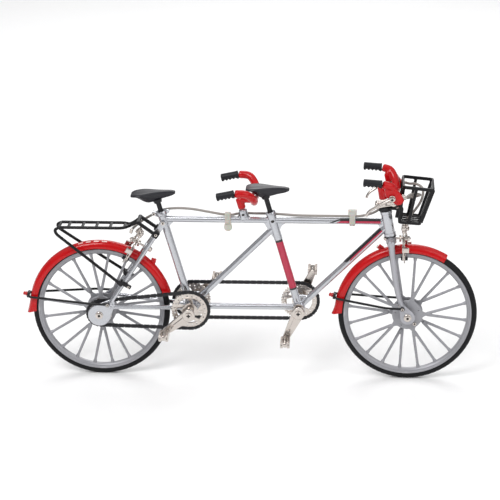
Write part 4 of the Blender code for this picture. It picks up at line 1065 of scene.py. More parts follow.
def bracket():
    """The black plate on the head tube that reaches forwards under the basket."""
    ring = turned("ring", [(1.8, 0), (3.35, 0), (3.5, 0.2), (3.5, 1.4), (3.3, 1.6), (1.8, 1.6)],
                  on_steering_axis(92.35), STEERING_AXIS, 40, True)
    arm = slab("arm", [[(148.4 * MM, -2.2 * MM), (152.6 * MM, -2.8 * MM), (154.6 * MM, -4.2 * MM),
                        (155.4 * MM, -4.2 * MM), (155.4 * MM, 4.2 * MM), (154.6 * MM, 4.2 * MM),
                        (152.6 * MM, 2.8 * MM), (148.4 * MM, 2.2 * MM)]], 1.0 * MM,
               Matrix.Translation((0, 0, 93.5 * MM)), 0.15 * MM)
    hanger = sweep("hanger", rounded_path([at(154.8, 0, 93.6), at(155.2, 0, 92.6),
                                           at(154.4, 0, 88.0)], 0.4 * MM),
                   lambda i: box_outline(3.6 * MM, 0.7 * MM), Y)
    dress(joined("basket_carrier", [ring, arm, hanger]), "steering", "satin_black",
          "basket_bracket")
    for side, hand in SIDES:
        screw(f"bracket_screw_{hand}", at(153.8, side * 2.4, 94.0), Z, 0.8, 0.5,
              "steering", "cross")


def stem():
    """The nickel clamp block: body, slit, nose and two pinch bolts."""
    centre = on_steering_axis(95.75) + at(0.6, 0, 0)
    body = block("body", (9.3 * MM, 5.5 * MM, 2.8 * MM), centre, -10.5, 0.5 * MM)
    nose = across("nose", centre + at(4.1, 0, 0.7), -2.9 * MM, 2.9 * MM, 1.75 * MM, 32)
    tail = across("tail", centre + at(-4.0, 0, -0.7), -2.7 * MM, 2.7 * MM, 1.6 * MM, 32)
    slit = block("slit", (6.0 * MM, 9.0 * MM, 0.3 * MM), centre + at(3.4, 0, 0.1), -10.5, 0.02 * MM)
    dress(carved(cast("stem_clamp", [body, nose, tail], 0.16 * MM, 5), [slit]), "steering",
          "nickel", "captain_stem", sharp=40)
    for k, shift in enumerate((-3.4, 0.2, 3.4)):
        screw(f"stem_bolt_{k}", centre + at(shift, -2.55, shift * 0.18 + 0.1), -Y,
              0.95 if k != 1 else 0.7, 0.55, "steering", "hex" if k != 1 else "cross")


CAPTAIN_HALF_BAR = ((152.5, 0, 100.2), (153.0, -5.0, 101.0), (152.7, -10.5, 104.6),
                    (150.2, -14.2, 109.0), (146.0, -15.0, 110.5))
STOKER_HALF_BAR = ((80.2, 0, 96.8), (80.8, -6.0, 97.6), (80.6, -12.0, 100.8), (77.2, -16.2, 104.6),
                   (71.6, -17.0, 105.2))


def both_halves(right):
    """A line of points from its middle to the right, led up to by its mirror image."""
    return [Vector((p.x, -p.y, p.z)) for p in right[:0:-1]] + right


def captain_bar():
    """The front bar with its two deep cowls, which hold the levers."""
    line = smooth_path(both_halves([at(*p) for p in CAPTAIN_HALF_BAR]), 8)
    pieces = [bar("bar", line, 2.05 * MM, sides=28),
              rod("post", on_steering_axis(98.1), on_steering_axis(104.8), 2.3 * MM, 32, 2.1 * MM),
              rod("neck", on_steering_axis(102.6), at(152.5, 0, 100.4), 2.1 * MM, 28)]
    for side in (-1, 1):
        cowl = [(146.9, 107.0), (148.2, 109.0), (150.2, 109.5), (153.4, 107.4), (156.3, 103.6),
                (156.9, 101.8), (155.6, 99.9), (153.2, 99.4), (150.6, 101.4), (147.6, 103.9)]
        pieces.append(side_slab("cowl", [[(x * MM, z * MM) for x, z in cowl]], side * 13.6 * MM,
                                3.6 * MM, 0.5 * MM))
    body = cast("captain_bar_casting", pieces, 0.22 * MM, 9)
    body = carved(body, [across("bore", LEVER_PIVOT, -20 * MM, 20 * MM, 0.85 * MM, 20, chamfer=0)])
    dress(body, "steering", "gloss_red", "captain_handlebar", sharp=50)


def stoker_bar():
    """The rear bar on its post, clamped in the socket of the top tube."""
    line = smooth_path(both_halves([at(*p) for p in STOKER_HALF_BAR]), 8)
    pieces = [bar("bar", line, 2.05 * MM, sides=28),
              rod("post", at(74.3, 0, 92.0), at(72.8, 0, 97.6), 1.95 * MM, 32, 2.15 * MM),
              rod("neck", at(72.9, 0, 97.2), at(80.2, 0, 96.8), 1.8 * MM, 28),
              web("web", [(73.6, 94.2), (77.2, 96.2), (78.6, 97.2), (73.2, 97.8)], 1.0)]
    dress(cast("stoker_bar_casting", pieces, 0.22 * MM, 9), "frame", "gloss_red",
          "stoker_handlebar", sharp=50)


def grip(name, front, back, body, node):
    """A soft grip with a collar, four finger notches underneath and a rounded end."""
    length = (back - front).length
    heading = (back - front).normalized()
    count = 44
    line = [front + heading * (0.35 * MM + (length - 0.35 * MM) * i / count)
            for i in range(count + 1)]

    def section(i):
        t = i / count
        collar = 0.10 * MM if t < 0.07 else 0.0
        end = math.sqrt(max(0.04, 1 - ((t - 0.95) / 0.05) ** 2 * 0.8)) if t > 0.95 else 1.0
        notch = 0.55 * MM * (0.5 - 0.5 * math.cos((t - 0.1) / 0.8 * 4 * math.tau))
        notch = notch if 0.1 < t < 0.9 else 0.0
        ring = []
        for u, v in circle(1.0, 30):
            reach = (1.98 * MM + collar) * end
            if v < 0:
                reach -= notch * min(1.0, -v * 1.6) - 0.12 * MM * -v
            ring.append((u * reach * 0.94, v * reach))
        return ring

    dress(sweep(name, line, section), body, "grip_black", node, sharp=60)


def grips():
    for side, hand in SIDES:
        grip(f"captain_grip_{hand}_moulding", at(146.0, side * 15.0, 110.5),
             at(136.2, side * 15.0, 111.2), "steering", f"captain_grip_{hand}")
        grip(f"stoker_grip_{hand}_moulding", at(71.6, side * 17.0, 105.2),
             at(62.2, side * 17.0, 103.2), "frame", f"stoker_grip_{hand}")


def levers():
    """Hooked brake levers with their eyes, pivot screws and barrel adjusters."""
    for side, hand in SIDES:
        pivot = LEVER_PIVOT + Y * side * 16.6 * MM
        line = smooth_path([pivot, pivot + at(-3.6, 0, -1.9), pivot + at(-8.0, -side * 0.4, -4.6),
                            pivot + at(-11.4, -side * 0.8, -7.0),
                            pivot + at(-12.9, -side * 1.0, -9.4)], 7)
        last = len(line) - 1

        def blade(i, last=last):
            t = i / last
            wide = (0.98 - 0.28 * t) * MM
            deep = (0.62 + 0.12 * math.sin(t * math.pi)) * MM
            return [(u * wide, v * deep) for u, v in circle(1.0, 18)]

        eye = across("eye", pivot, side * 15.9 * MM, side * 17.3 * MM, 1.7 * MM, 36)
        knob = rod("knob", line[-2], line[-1] + (line[-1] - line[-2]).normalized() * 0.3 * MM,
                   0.85 * MM, 20, chamfer=0.4)
        body = joined("lever", [eye, sweep("blade", line, blade), knob])
        dress(body, f"lever_{hand}_body", "nickel", f"brake_lever_{hand}").name = f"lever_{hand}"
        shaft = across(f"lever_pin_{hand}", pivot, side * 12.6 * MM, side * 17.8 * MM, 0.55 * MM)
        dress(shaft, "steering", "nickel", f"lever_screw_{hand}")
        screw(f"lever_screw_head_{hand}", pivot + Y * side * 1.05 * MM, Y * side, 1.35,
              0.8, "steering", "cross")
        adjuster(f"barrel_{hand}", at(155.6, side * 12.8, 103.4), at(158.4, side * 12.8, 103.0))


def adjuster(name, start, end):
    """A knurled barrel adjuster."""
    axis = (end - start).normalized()
    length = (end - start).length
    steps = 36
    rings = []
    turn = Z.rotation_difference(axis).to_matrix()
    for share, radius, knurl in ((0, 1.0, 0), (0.06, 1.25, 0), (0.1, 1.3, 1), (0.5, 1.3, 1),
                                 (0.55, 1.2, 0), (0.6, 0.9, 0), (0.94, 0.86, 0), (1.0, 0.7, 0)):
        ring = []
        for i in range(steps):
            angle = math.tau * i / steps
            r = (radius - (0.12 if knurl and i % 3 == 0 else 0.0)) * MM
            ring.append(start + turn @ Vector((r * math.cos(angle), r * math.sin(angle),
                                               length * share)))
        rings.append(ring)
    dress(loft(name, rings), "steering", "nickel")


# ---------------------------------------------------------------- basket
def strip(name, points, width, height, up=Z, closed=False, corner=0.6 * MM):
    """A flat strip along a line whose corners are rounded."""
    path = rounded_path(points, corner, closed=closed) if len(points) > 2 or closed else points
    return sweep(name, path, lambda i: box_outline(width, height), up, closed)


def basket():
    """A basket of square strips: rim, floor frame, corner posts, side posts and floor bars."""
    top = [at(156.7, -9.4, 107.4), at(171.6, -9.4, 105.9), at(171.6, 9.4, 105.9),
           at(156.7, 9.4, 107.4)]
    low = [at(154.7, -7.2, 88.0), at(165.4, -7.2, 87.2), at(165.4, 7.2, 87.2),
           at(154.7, 7.2, 88.0)]
    pieces = [strip("rim", top, 1.1 * MM, 1.7 * MM, closed=True, corner=1.1 * MM),
              strip("floor", low, 1.2 * MM, 1.3 * MM, closed=True, corner=1.4 * MM)]
    shoulder = 0.8 * MM
    for i, (high, foot) in enumerate(zip(top, low)):
        inward = Vector((0, -math.copysign(0.35 * MM, high.y), 0))
        line = [high + inward, foot + (high - foot).normalized() * shoulder + inward]
        wide = 2.0 * MM if i in (1, 2) else 1.5 * MM
        pieces.append(strip("post", line, 1.2 * MM, wide, X))
    for a, b in ((0, 1), (1, 2), (3, 2)):
        high, foot = top[a].lerp(top[b], 0.44), low[a].lerp(low[b], 0.44)
        facing_out = Y if (a, b) == (1, 2) else X
        pieces.append(strip("post", [high, foot], 1.0 * MM, 1.5 * MM, facing_out))
    middle = [top[1].lerp(top[2], 0.5), low[1].lerp(low[2], 0.5)]
    pieces.append(strip("front_post", middle, 1.0 * MM, 1.4 * MM, Y))
    for y in (-4.4, -1.5, 1.5, 4.4):
        pieces.append(strip("floor_bar", [at(154.7, y, 88.0), at(165.4, y, 87.2)], 0.8 * MM,
                            0.8 * MM))
    pieces.append(strip("cross_bar", [at(159.8, -6, 87.5), at(159.8, 6, 87.5)], 1.0 * MM, 0.9 * MM))
    dress(cast("basket_moulding", pieces, 0.18 * MM, 3), "steering", "satin_black", "basket",
          sharp=40)


# ---------------------------------------------------------------- fenders and stays
FENDER_R = 38.0 * MM


def fender(prefix, centre, from_deg, to_deg, tab_deg, body):
    """An arched mudguard with a soft ridge, rolled edges, a flared tail and a fixing tab."""
    outline = [(-3.1, 34.0), (-3.22, 34.5), (-3.1, 35.2), (-2.95, 36.1), (-2.5, 36.95),
               (-1.8, 37.45), (-1.0, 37.72), (-0.55, 37.82), (0, 38.0)]
    outer = outline + [(-y, r) for y, r in reversed(outline[:-1])]
    inner = [(y * 0.86, r - 0.42 if 34.2 < r else r) for y, r in outer]
    steps = 110
    rings = []
    for k in range(steps + 1):
        share = k / steps
        degrees = from_deg + (to_deg - from_deg) * share
        flare = max(0.0, (share - 0.93) / 0.07)
        skew = 2.2 * max(0.0, (share - 0.975) / 0.025)
        ring = []
        for y, r in outer + inner[::-1]:
            angle = math.radians(degrees - skew * (38.0 - r) / 4.0 + 0.6)
            reach = (r + 1.5 * flare * flare * (r - 34.0) / 4.0) * MM
            ring.append(centre + Vector((reach * math.cos(angle), y * (1 + 0.06 * flare) * MM,
                                         reach * math.sin(angle))))
        rings.append(ring)
    dress(loft(f"{prefix}_mudguard", rings), body, "gloss_red", f"{prefix}_fender", sharp=42)
    root = polar(centre, FENDER_R - 0.4 * MM, tab_deg)
    tip = polar(centre, FENDER_R + 1.9 * MM, tab_deg + 2.0)
    tab = sweep("tab", rounded_path([root + at(-1.6, 0, 0.0), root, tip], 0.6 * MM),
                lambda i: box_outline(2.6 * MM, 0.6 * MM), Y)
    dress(tab, body, "gloss_red").name = f"{prefix}_mudguard_tab"


def stay(prefix, centre, back_deg, front_point, body):
    """A wire round the back of the mudguard, with a flattened eye at each front end."""
    back = polar(centre, FENDER_R + 1.0 * MM, back_deg)
    corner = polar(centre, FENDER_R - 0.2 * MM, back_deg) + at(0, -4.1, 0)
    near = [back, back + at(0.3, -2.6, 0), corner, front_point - at(8.6, 0, -0.4), front_point]
    pieces = [bar("wire", rounded_path(both_halves(near), 1.6 * MM), 0.62 * MM, sides=16)]
    for side, hand in SIDES:
        end = Vector((front_point.x, side * abs(front_point.y), front_point.z))
        pieces.append(across("eye", end, end.y - side * 0.75 * MM, end.y + side * 0.75 * MM,
                             1.15 * MM, 28))
        screw(f"{prefix}_stay_screw_{hand}", end + Y * side * 0.7 * MM, Y * side, 0.8, 0.4, body,
              "cross")
    outward = (back - centre).normalized()
    turn = facing(back + outward * 0.1 * MM, outward)
    pieces.append(slab("plate", [box_outline(3.0 * MM, 4.4 * MM, 0.4)], 1.3 * MM, turn, 0.2 * MM))
    dress(joined(f"{prefix}_stay_wire", pieces), body, "satin_black", f"{prefix}_fender_stay")
    knob = turned(f"{prefix}_stay_knob", [(0.5, 0.0), (1.05, 0.1), (1.2, 0.5), (1.1, 0.9),
                                          (0.85, 1.2), (1.0, 1.6), (0.95, 2.1), (0.5, 2.35)],
                  back + outward * 0.7 * MM, outward, 32)
    dress(knob, body, "lens_red", f"{prefix}_fender_knob", slot="gloss_red", sharp=50)


def fenders():
    fender("rear", REAR_AXLE, 14.5, 183.0, 43.0, "frame")
    stay("rear", REAR_AXLE, 169.0, at(4.6, -11.5, 42.3), "frame")
    fender("front", FRONT_AXLE, 57.5, 180.5, 111.0, "steering")
    stay("front", FRONT_AXLE, 166.5, at(157.2, -8.5, 41.2), "steering")
    screw("front_guard_screw", polar(FRONT_AXLE, FENDER_R + 1.6 * MM, 113.0) + at(-0.5, 0, 0), -X,
          0.95, 0.6, "steering", "cross")
    # Four pale pink dashes on the lit right-hand crown of the rear mudguard: a painted highlight on its gloss.
    for k in range(4):
        start = 84.0 + k * 6.4
        rings = []
        for i in range(9):
            degrees = start + 4.0 * i / 8
            middle = polar(REAR_AXLE, FENDER_R - 0.32 * MM, degrees)
            out = (middle - REAR_AXLE).normalized()
            rings.append([middle + Y * y * MM + out * r * MM
                          for y, r in ((-1.75, -0.22), (-1.7, 0.0), (-1.0, 0.16), (-0.95, -0.1))])
        dress(loft(f"rear_guard_dash_{k}", rings), "frame", "pale_print", slot="gloss_red")


# ---------------------------------------------------------------- rack
RACK_Z = 82.0


def rack():
    """The carrier: rails round into the legs, five cross bars, the neck and its clamp."""
    half = 4.5
    pieces = []
    for side in (-1, 1):
        rail = rounded_path([at(16.6, side * 0.9, RACK_Z + 0.4), at(12.8, side * half, RACK_Z),
                             at(-20.4, side * half, RACK_Z), at(-22.7, side * 4.7, 80.6),
                             at(-21.6, side * 4.9, 78.3), at(11.4, side * 10.35, 53.6)],
                            3.0 * MM, 8)
        pieces.append(bar("rail", rail, 0.82 * MM, sides=18))
    for x, reach in ((-15.5, half), (-8.3, half), (-1.1, half), (6.1, half), (13.4, 3.8)):
        pieces.append(strip("cross", [at(x, -reach, RACK_Z + 0.1), at(x, reach, RACK_Z + 0.1)],
                            1.5 * MM, 0.8 * MM))
    pieces.append(bar("end", [at(-20.4, -half, RACK_Z - 0.1), at(-20.4, half, RACK_Z - 0.1)],
                      0.75 * MM, sides=16))
    neck = rounded_path([at(15.4, 0, RACK_Z + 0.3), at(18.0, 0, RACK_Z + 1.3), at(21.2, 0, 85.6)],
                        1.2 * MM)
    pieces.append(sweep("neck", neck, lambda i: box_outline(2.4 * MM, 1.6 * MM, 0.5), Y))
    pieces.append(sweep("yoke", [at(20.9, -5.9, 85.4), at(20.9, 5.9, 85.4)],
                        lambda i: box_outline(2.0 * MM, 1.6 * MM, 0.5)))
    for side in (-1, 1):
        pieces.append(strip("prong", [at(20.7, side * 5.3, 85.5), at(30.4, side * 5.6, 78.5)],
                            1.5 * MM, 2.1 * MM, Y))
        pieces.append(block("clamp", (3.2 * MM, 2.2 * MM, 3.6 * MM), at(29.9, side * 5.3, 79.0),
                            35, 0.4 * MM))
    dress(cast("carrier", pieces, 0.2 * MM, 4), "frame", "satin_black", "rack", sharp=40)
    for side, hand in SIDES:
        screw(f"carrier_screw_{hand}", at(30.0, side * 6.35, 79.0), Y * side, 0.8, 0.45,
              "frame")
        stay_top, stay_low = at(33.6, side * 1.8, 84.0), at(6.2, side * 9.8, 43.2)
        along = (stay_low - stay_top).normalized()
        centre = stay_top.lerp(stay_low, 0.755)
        band = turned("band", [(1.25, -1.1), (2.0, -1.1), (2.15, -0.8), (2.15, 0.8), (2.0, 1.1),
                               (1.25, 1.1)], centre, along, 32, True)
        ear = block("ear", (3.6 * MM, 1.9 * MM, 1.9 * MM), centre + at(2.2, side * 0.9, -1.4), 30,
                    0.35 * MM)
        foot = rod("foot", at(10.2, side * 10.2, 54.5), at(12.6, side * 10.5, 52.7), 1.1 * MM, 20)
        dress(joined(f"carrier_band_{hand}", [band, ear, foot]), "frame", "satin_black")
        screw(f"carrier_band_screw_{hand}", centre + at(2.6, side * 1.8, -1.6), Y * side,
              0.7, 0.4, "frame")


# ---------------------------------------------------------------- drive
RING_TEETH = 38
RING_TIP_R = 9.75 * MM
CHAIN_RUN_RING = 9.95 * MM
CHAIN_RUN_SPROCKET = 6.55 * MM
OUTER_PLATE = (0.9 * MM, 0.72 * MM, 0.62 * MM)    # end radius, half waist, distance from the teeth
INNER_PLATE = (0.58 * MM, 0.34 * MM, 0.50 * MM)
PLATE_THICK = 0.14 * MM
PIN_R, PIN_IN, PIN_OUT = 0.24 * MM, 0.5 * MM, 0.84 * MM
ROLLER_R, ROLLER_HALF_WIDTH = 0.5 * MM, 0.5 * MM
CLEAR_OF_TEETH = 1.1 * MM


TOOTH_HEIGHT = 0.75 * MM
GEAR_THICK = 0.8 * MM


def gear(name, centre, teeth, tip_r, y_centre, holes):
    """A toothed disc with rounded teeth and holes given round its centre."""
    outline = []
    for k in range(teeth * 4):
        angle = math.tau * k / (teeth * 4)
        radius = tip_r - TOOTH_HEIGHT * (0.0, 0.25, 1.0, 0.25)[k % 4]
        outline.append((centre.x + radius * math.cos(angle), centre.z + radius * math.sin(angle)))
    outlines = [outline]
    for hole in holes:
        outlines.append([(centre.x + u, centre.z + v) for u, v in hole])
    return side_slab(name, outlines, y_centre, GEAR_THICK, 0.04 * MM)


def window(start, stop, low, high, sweep_back):
    """A curved window between two angles and radii; its outer edge lags by sweep_back."""
    steps = 8
    outline = []
    for i in range(steps + 1):
        angle = start + (stop - start) * i / steps + sweep_back
        outline.append((high * math.cos(angle), high * math.sin(angle)))
    for i in range(steps + 1):
        angle = stop + (start - stop) * i / steps
        outline.append((low * math.cos(angle), low * math.sin(angle)))
    return outline


def chainring(name, centre, y_centre, body, node, outer_side):
    """A ring with swept windows, small holes, a raised inner band and a thin raised rim."""
    holes = [circle(1.6 * MM, 28)]
    for k in range(5):
        start = math.tau * k / 5
        holes.append(window(start + 0.14, start + math.tau / 5 - 0.2, 3.9 * MM, 6.75 * MM, 0.34))
    for k in range(20):
        angle = math.tau * (k + 0.5) / 20
        holes.append(circle(0.36 * MM, 10, 7.9 * MM * math.cos(angle), 7.9 * MM * math.sin(angle)))
    plate = gear("plate", centre, RING_TEETH, RING_TIP_R, y_centre, holes)
    band = turned("band", [(3.3, 0.0), (3.5, 0.3), (2.0, 0.55), (1.6, 0.55), (1.6, 0.0)],
                  centre + Y * (y_centre + outer_side * 0.35 * MM), Y * outer_side, 40, True)
    rim = turned("rim", [(6.95, 0.0), (7.25, 0.0), (7.2, 0.18), (7.0, 0.18)],
                 centre + Y * (y_centre + outer_side * 0.36 * MM), Y * outer_side, 64, True)
    dress(joined(name, [plate, band, rim]), body, "nickel", node)


def link_outline(pitch, r, waist):
    """A side plate of a chain link, waisted between its two pins."""
    half = pitch / 2
    outline = []
    for sign in (1, -1):
        for i in range(7):
            angle = math.radians(-70 + 140 * i / 6) + (0 if sign > 0 else math.pi)
            outline.append((sign * half + r * math.cos(angle), r * math.sin(angle)))
        outline.append((0.0, sign * waist))
    return outline


def chain(name, first, first_r, second, second_r, y_centre, links, node):
    """Roller chain: waisted plates on both sides of the teeth, and rollers on the free runs."""
    path = [Vector((u, y_centre, v)) for u, v in belt(flat(first), first_r, flat(second), second_r,
                                                      60)]
    path.append(path[0].copy())
    run = [0.0]
    for a, b in zip(path, path[1:]):
        run.append(run[-1] + (b - a).length)
    pitch = run[-1] / links
    plates = [(link_outline(pitch, r, waist), inner)
              for r, waist, inner in (OUTER_PLATE, INNER_PLATE)]

    def spot(distance):
        distance %= run[-1]
        k = next(i for i in range(1, len(run)) if run[i] >= distance)
        share = (distance - run[k - 1]) / (run[k] - run[k - 1])
        return path[k - 1].lerp(path[k], share)

    bm = bmesh.new()

    def prism(points_of, y_low, y_high):
        low = [bm.verts.new(p + Y * y_low) for p in points_of]
        high = [bm.verts.new(p + Y * y_high) for p in points_of]
        count = len(low)
        bm.faces.new(low)
        bm.faces.new(high[::-1])
        for i in range(count):
            j = (i + 1) % count
            bm.faces.new((low[i], low[j], high[j], high[i]))

    for k in range(links):
        a, b = spot(k * pitch), spot((k + 1) * pitch)
        along = (b - a).normalized()
        over = along.cross(Y)
        middle = (a + b) / 2
        outline, inner = plates[k % 2]
        plate = [middle + along * u + over * v for u, v in outline]
        for side in (-1, 1):
            prism(plate, side * inner, side * (inner + PLATE_THICK))
        pin = [a + along * u + over * v for u, v in circle(PIN_R, 8)]
        for side in (-1, 1):
            prism(pin, side * PIN_IN, side * PIN_OUT)
        if all(math.hypot(a.x - hub.x, a.z - hub.z) > r + CLEAR_OF_TEETH
               for hub, r in ((first, first_r), (second, second_r))):
            roller = [a + along * u + over * v for u, v in circle(ROLLER_R, 10)]
            prism(roller, -ROLLER_HALF_WIDTH, ROLLER_HALF_WIDTH)
    bmesh.ops.recalc_face_normals(bm, faces=bm.faces)
    mesh = bpy.data.meshes.new(name)
    bm.to_mesh(mesh)
    bm.free()
    dress(add_object(name, mesh), "frame", "satin_black", node)


CRANK_THICK = 1.8 * MM
PEDAL_WIDTH = 9.0 * MM
PEDAL_BLOCK_X = 1.75
PEDAL_RIB_PITCH = 1.7


def crank(prefix, hand, centre, degrees, y_inner, side):
    """A bevelled arm with its boss, centre screw, two small screws and the pedal's pin."""
    body = f"{prefix}_cranks"
    end = polar(centre, CRANK_LENGTH, degrees)
    y_mid = y_inner + side * CRANK_THICK / 2
    y_out = y_inner + side * CRANK_THICK
    arm = side_slab("arm", [belt(flat(centre), 3.2 * MM, flat(end), 1.75 * MM, 26)], y_mid,
                    CRANK_THICK, 0.3 * MM)
    boss = across("boss", centre, y_inner + side * 0.1 * MM, y_out + side * 0.45 * MM, 3.3 * MM,
                  48, 0.08)
    pad = across("pad", end, y_inner, y_out + side * 0.15 * MM, 1.6 * MM, 36, 0.1)
    heel = centre.lerp(end, 0.6)
    heel_pad = side_slab("rib", [belt(flat(centre.lerp(end, 0.2)), 0.9 * MM, flat(heel), 0.6 * MM)],
                         y_out, 0.5 * MM, 0.15 * MM)
    body_mesh = cast(f"{prefix}_arm_{hand}", [arm, boss, pad, heel_pad], 0.14 * MM, 3)
    pin = across("pin", end, y_out - side * 0.3 * MM, y_out + side * 7.4 * MM, 0.75 * MM, 24)
    dress(joined(f"{prefix}_arm_{hand}", [body_mesh, pin]), body, "nickel",
          f"{prefix}_crank_{hand}", sharp=40)
    screw(f"{prefix}_crank_screw_{hand}", centre + Y * (y_out + side * 0.4 * MM - centre.y),
          Y * side, 1.8, 0.5, body, "cross")
    for k, share in enumerate((0.72, 0.85)):
        spot = centre.lerp(end, share)
        screw(f"{prefix}_arm_screw_{hand}_{k}", spot + Y * (y_out - spot.y), Y * side, 0.8,
              0.35, body, "cross")
    pedal(prefix, hand, end, y_out, side)


def pedal(prefix, hand, pin_end, y_arm, side):
    """A pedal: a barrel on the pin, two blocks with tread, end plates and through bolts."""
    body = f"{prefix}_pedal_{hand}_body"
    y_near = y_arm + side * 0.4 * MM
    y_far = y_near + side * PEDAL_WIDTH
    middle = (y_near + y_far) / 2

    def spot(x, y, z):
        return Vector((pin_end.x, middle, pin_end.z)) + at(x, y, z)

    pieces = [turned("barrel", [(1.0, 0), (1.45, 0), (1.3, 1.2), (1.2, 4.0), (1.35, 7.6),
                                (1.2, 8.2), (1.0, 8.2)],
                     Vector((pin_end.x, y_near, pin_end.z)), Y * side, 28, True)]
    for x in (-PEDAL_BLOCK_X, PEDAL_BLOCK_X):
        pieces.append(block("pad", (1.45 * MM, 8.6 * MM, 3.3 * MM), spot(x, 0, 0), 0, 0.3 * MM))
        for k in range(5):
            for z in (-1.7, 1.7):
                pieces.append(block("rib", (1.2 * MM, 0.7 * MM, 0.35 * MM),
                                    spot(x, PEDAL_RIB_PITCH * (k - 2), z), 0, 0.08 * MM))
    for y in (-3.9, 3.9):
        pieces.append(block("cage", (5.0 * MM, 0.9 * MM, 2.1 * MM), spot(0, y, 0), 0, 0.25 * MM))
    dress(joined(f"{prefix}_pedal_{hand}_block", pieces), body, "nickel", f"{prefix}_pedal_{hand}")
    cap = Vector((pin_end.x, y_far - side * 1.1 * MM, pin_end.z))
    dress(turned(f"{prefix}_pedal_cap_{hand}", [(1.25, 0.0), (1.3, 0.7), (0.8, 1.05), (0.3, 1.15)],
                 cap, Y * side, 28), body, "nickel")
    for k, x in enumerate((-PEDAL_BLOCK_X, PEDAL_BLOCK_X)):
        face = Vector((pin_end.x + x * MM, y_far - side * 0.2 * MM, pin_end.z))
        screw(f"{prefix}_pedal_bolt_{hand}_{k}", face, Y * side, 0.6, 0.35, body, "cross")


def drive():
    for prefix, centre, degrees, right_y in (("stoker", STOKER_BB, 217.0, -13.2 * MM),
                                             ("captain", CAPTAIN_BB, 245.0, -8.4 * MM)):
        shaft = across(f"{prefix}_shaft", centre, right_y + 0.3 * MM, 12.1 * MM, 1.3 * MM)
        dress(shaft, f"{prefix}_cranks", "nickel", f"{prefix}_spindle")
        crank(prefix, "right", centre, degrees, right_y, -1)
        crank(prefix, "left", centre, degrees - 180.0, 12.4 * MM, 1)
        chainring(f"{prefix}_timing_ring", centre, SYNC_PLANE_Y, f"{prefix}_cranks",
                  f"{prefix}_sync_ring", 1)
        for side, hand in SIDES:
            cup = turned(f"{prefix}_cup_{hand}", [(1.65, 0.0), (3.0, 0.0), (2.8, 0.45), (2.2, 0.6),
                                                  (1.65, 0.6)],
                         centre + Y * side * 4.15 * MM, Y * side, 36, True)
            dress(cup, "frame", "nickel")
    chainring("stoker_drive_ring", STOKER_BB, DRIVE_PLANE_Y, "stoker_cranks", "drive_ring", -1)
    spacer = turned("drive_ring_spacer", [(1.32, 0.0), (2.3, 0.0), (2.2, 4.6), (1.32, 4.6)],
                    STOKER_BB + Y * (DRIVE_PLANE_Y - 1.0 * MM), -Y, 36, True)
    dress(spacer, "stoker_cranks", "nickel")
    chain("drive_chain_links", REAR_AXLE, CHAIN_RUN_SPROCKET, STOKER_BB, CHAIN_RUN_RING,
          DRIVE_PLANE_Y, 88, "drive_chain")
    chain("sync_chain_links", STOKER_BB, CHAIN_RUN_RING, CAPTAIN_BB, CHAIN_RUN_RING, SYNC_PLANE_Y,
          106, "sync_chain")


# ---------------------------------------------------------------- brakes
def brake(prefix, pivot, out, up, bolt_start, body):
    """A side-pull caliper: centre bolt, washers, nut, spring and two arms with their pads."""

    def spot(a, y, u):
        return pivot + out * a * MM + Y * y * MM + up * u * MM

    shank = rod("shank", bolt_start, spot(3.4, 0, 0), 0.55 * MM, 20)
    washer = turned("washer", [(1.75, 0), (1.85, 0.15), (1.6, 1.1),
                               (0.6, 1.15)], spot(-1.5, 0, 0), out, 32)
    thin = turned("thin", [(0.76, 0), (1.35, 0), (1.35, 0.2),
                           (0.76, 0.2)], spot(2.6, 0, 0), out, 28, True)
    nut = slab("nut", [circle(1.25 * MM, 6)], 1.0 * MM, facing(spot(3.35, 0, 0), out), 0.15 * MM)
    tip = rod("tip", spot(3.7, 0, 0), spot(4.4, 0, 0), 0.6 * MM, 20, chamfer=0.4)
    rear_nut = turned("rear_nut", [(0.2, 1.9), (0.9, 1.6), (1.3, 0.9),
                                   (1.4, 0.0)], bolt_start, -out, 28)
    dress(joined(f"{prefix}_caliper_bolt", [shank, washer, thin, nut, tip, rear_nut]), body, "nickel",
          f"{prefix}_brake_bolt")
    for side, hand, near in ((-1, "right", 0.0), (1, "left", 1.4)):
        caliper_arm(prefix, hand, side, near, spot, out, up)


ARM_HALF_THICK = 0.55


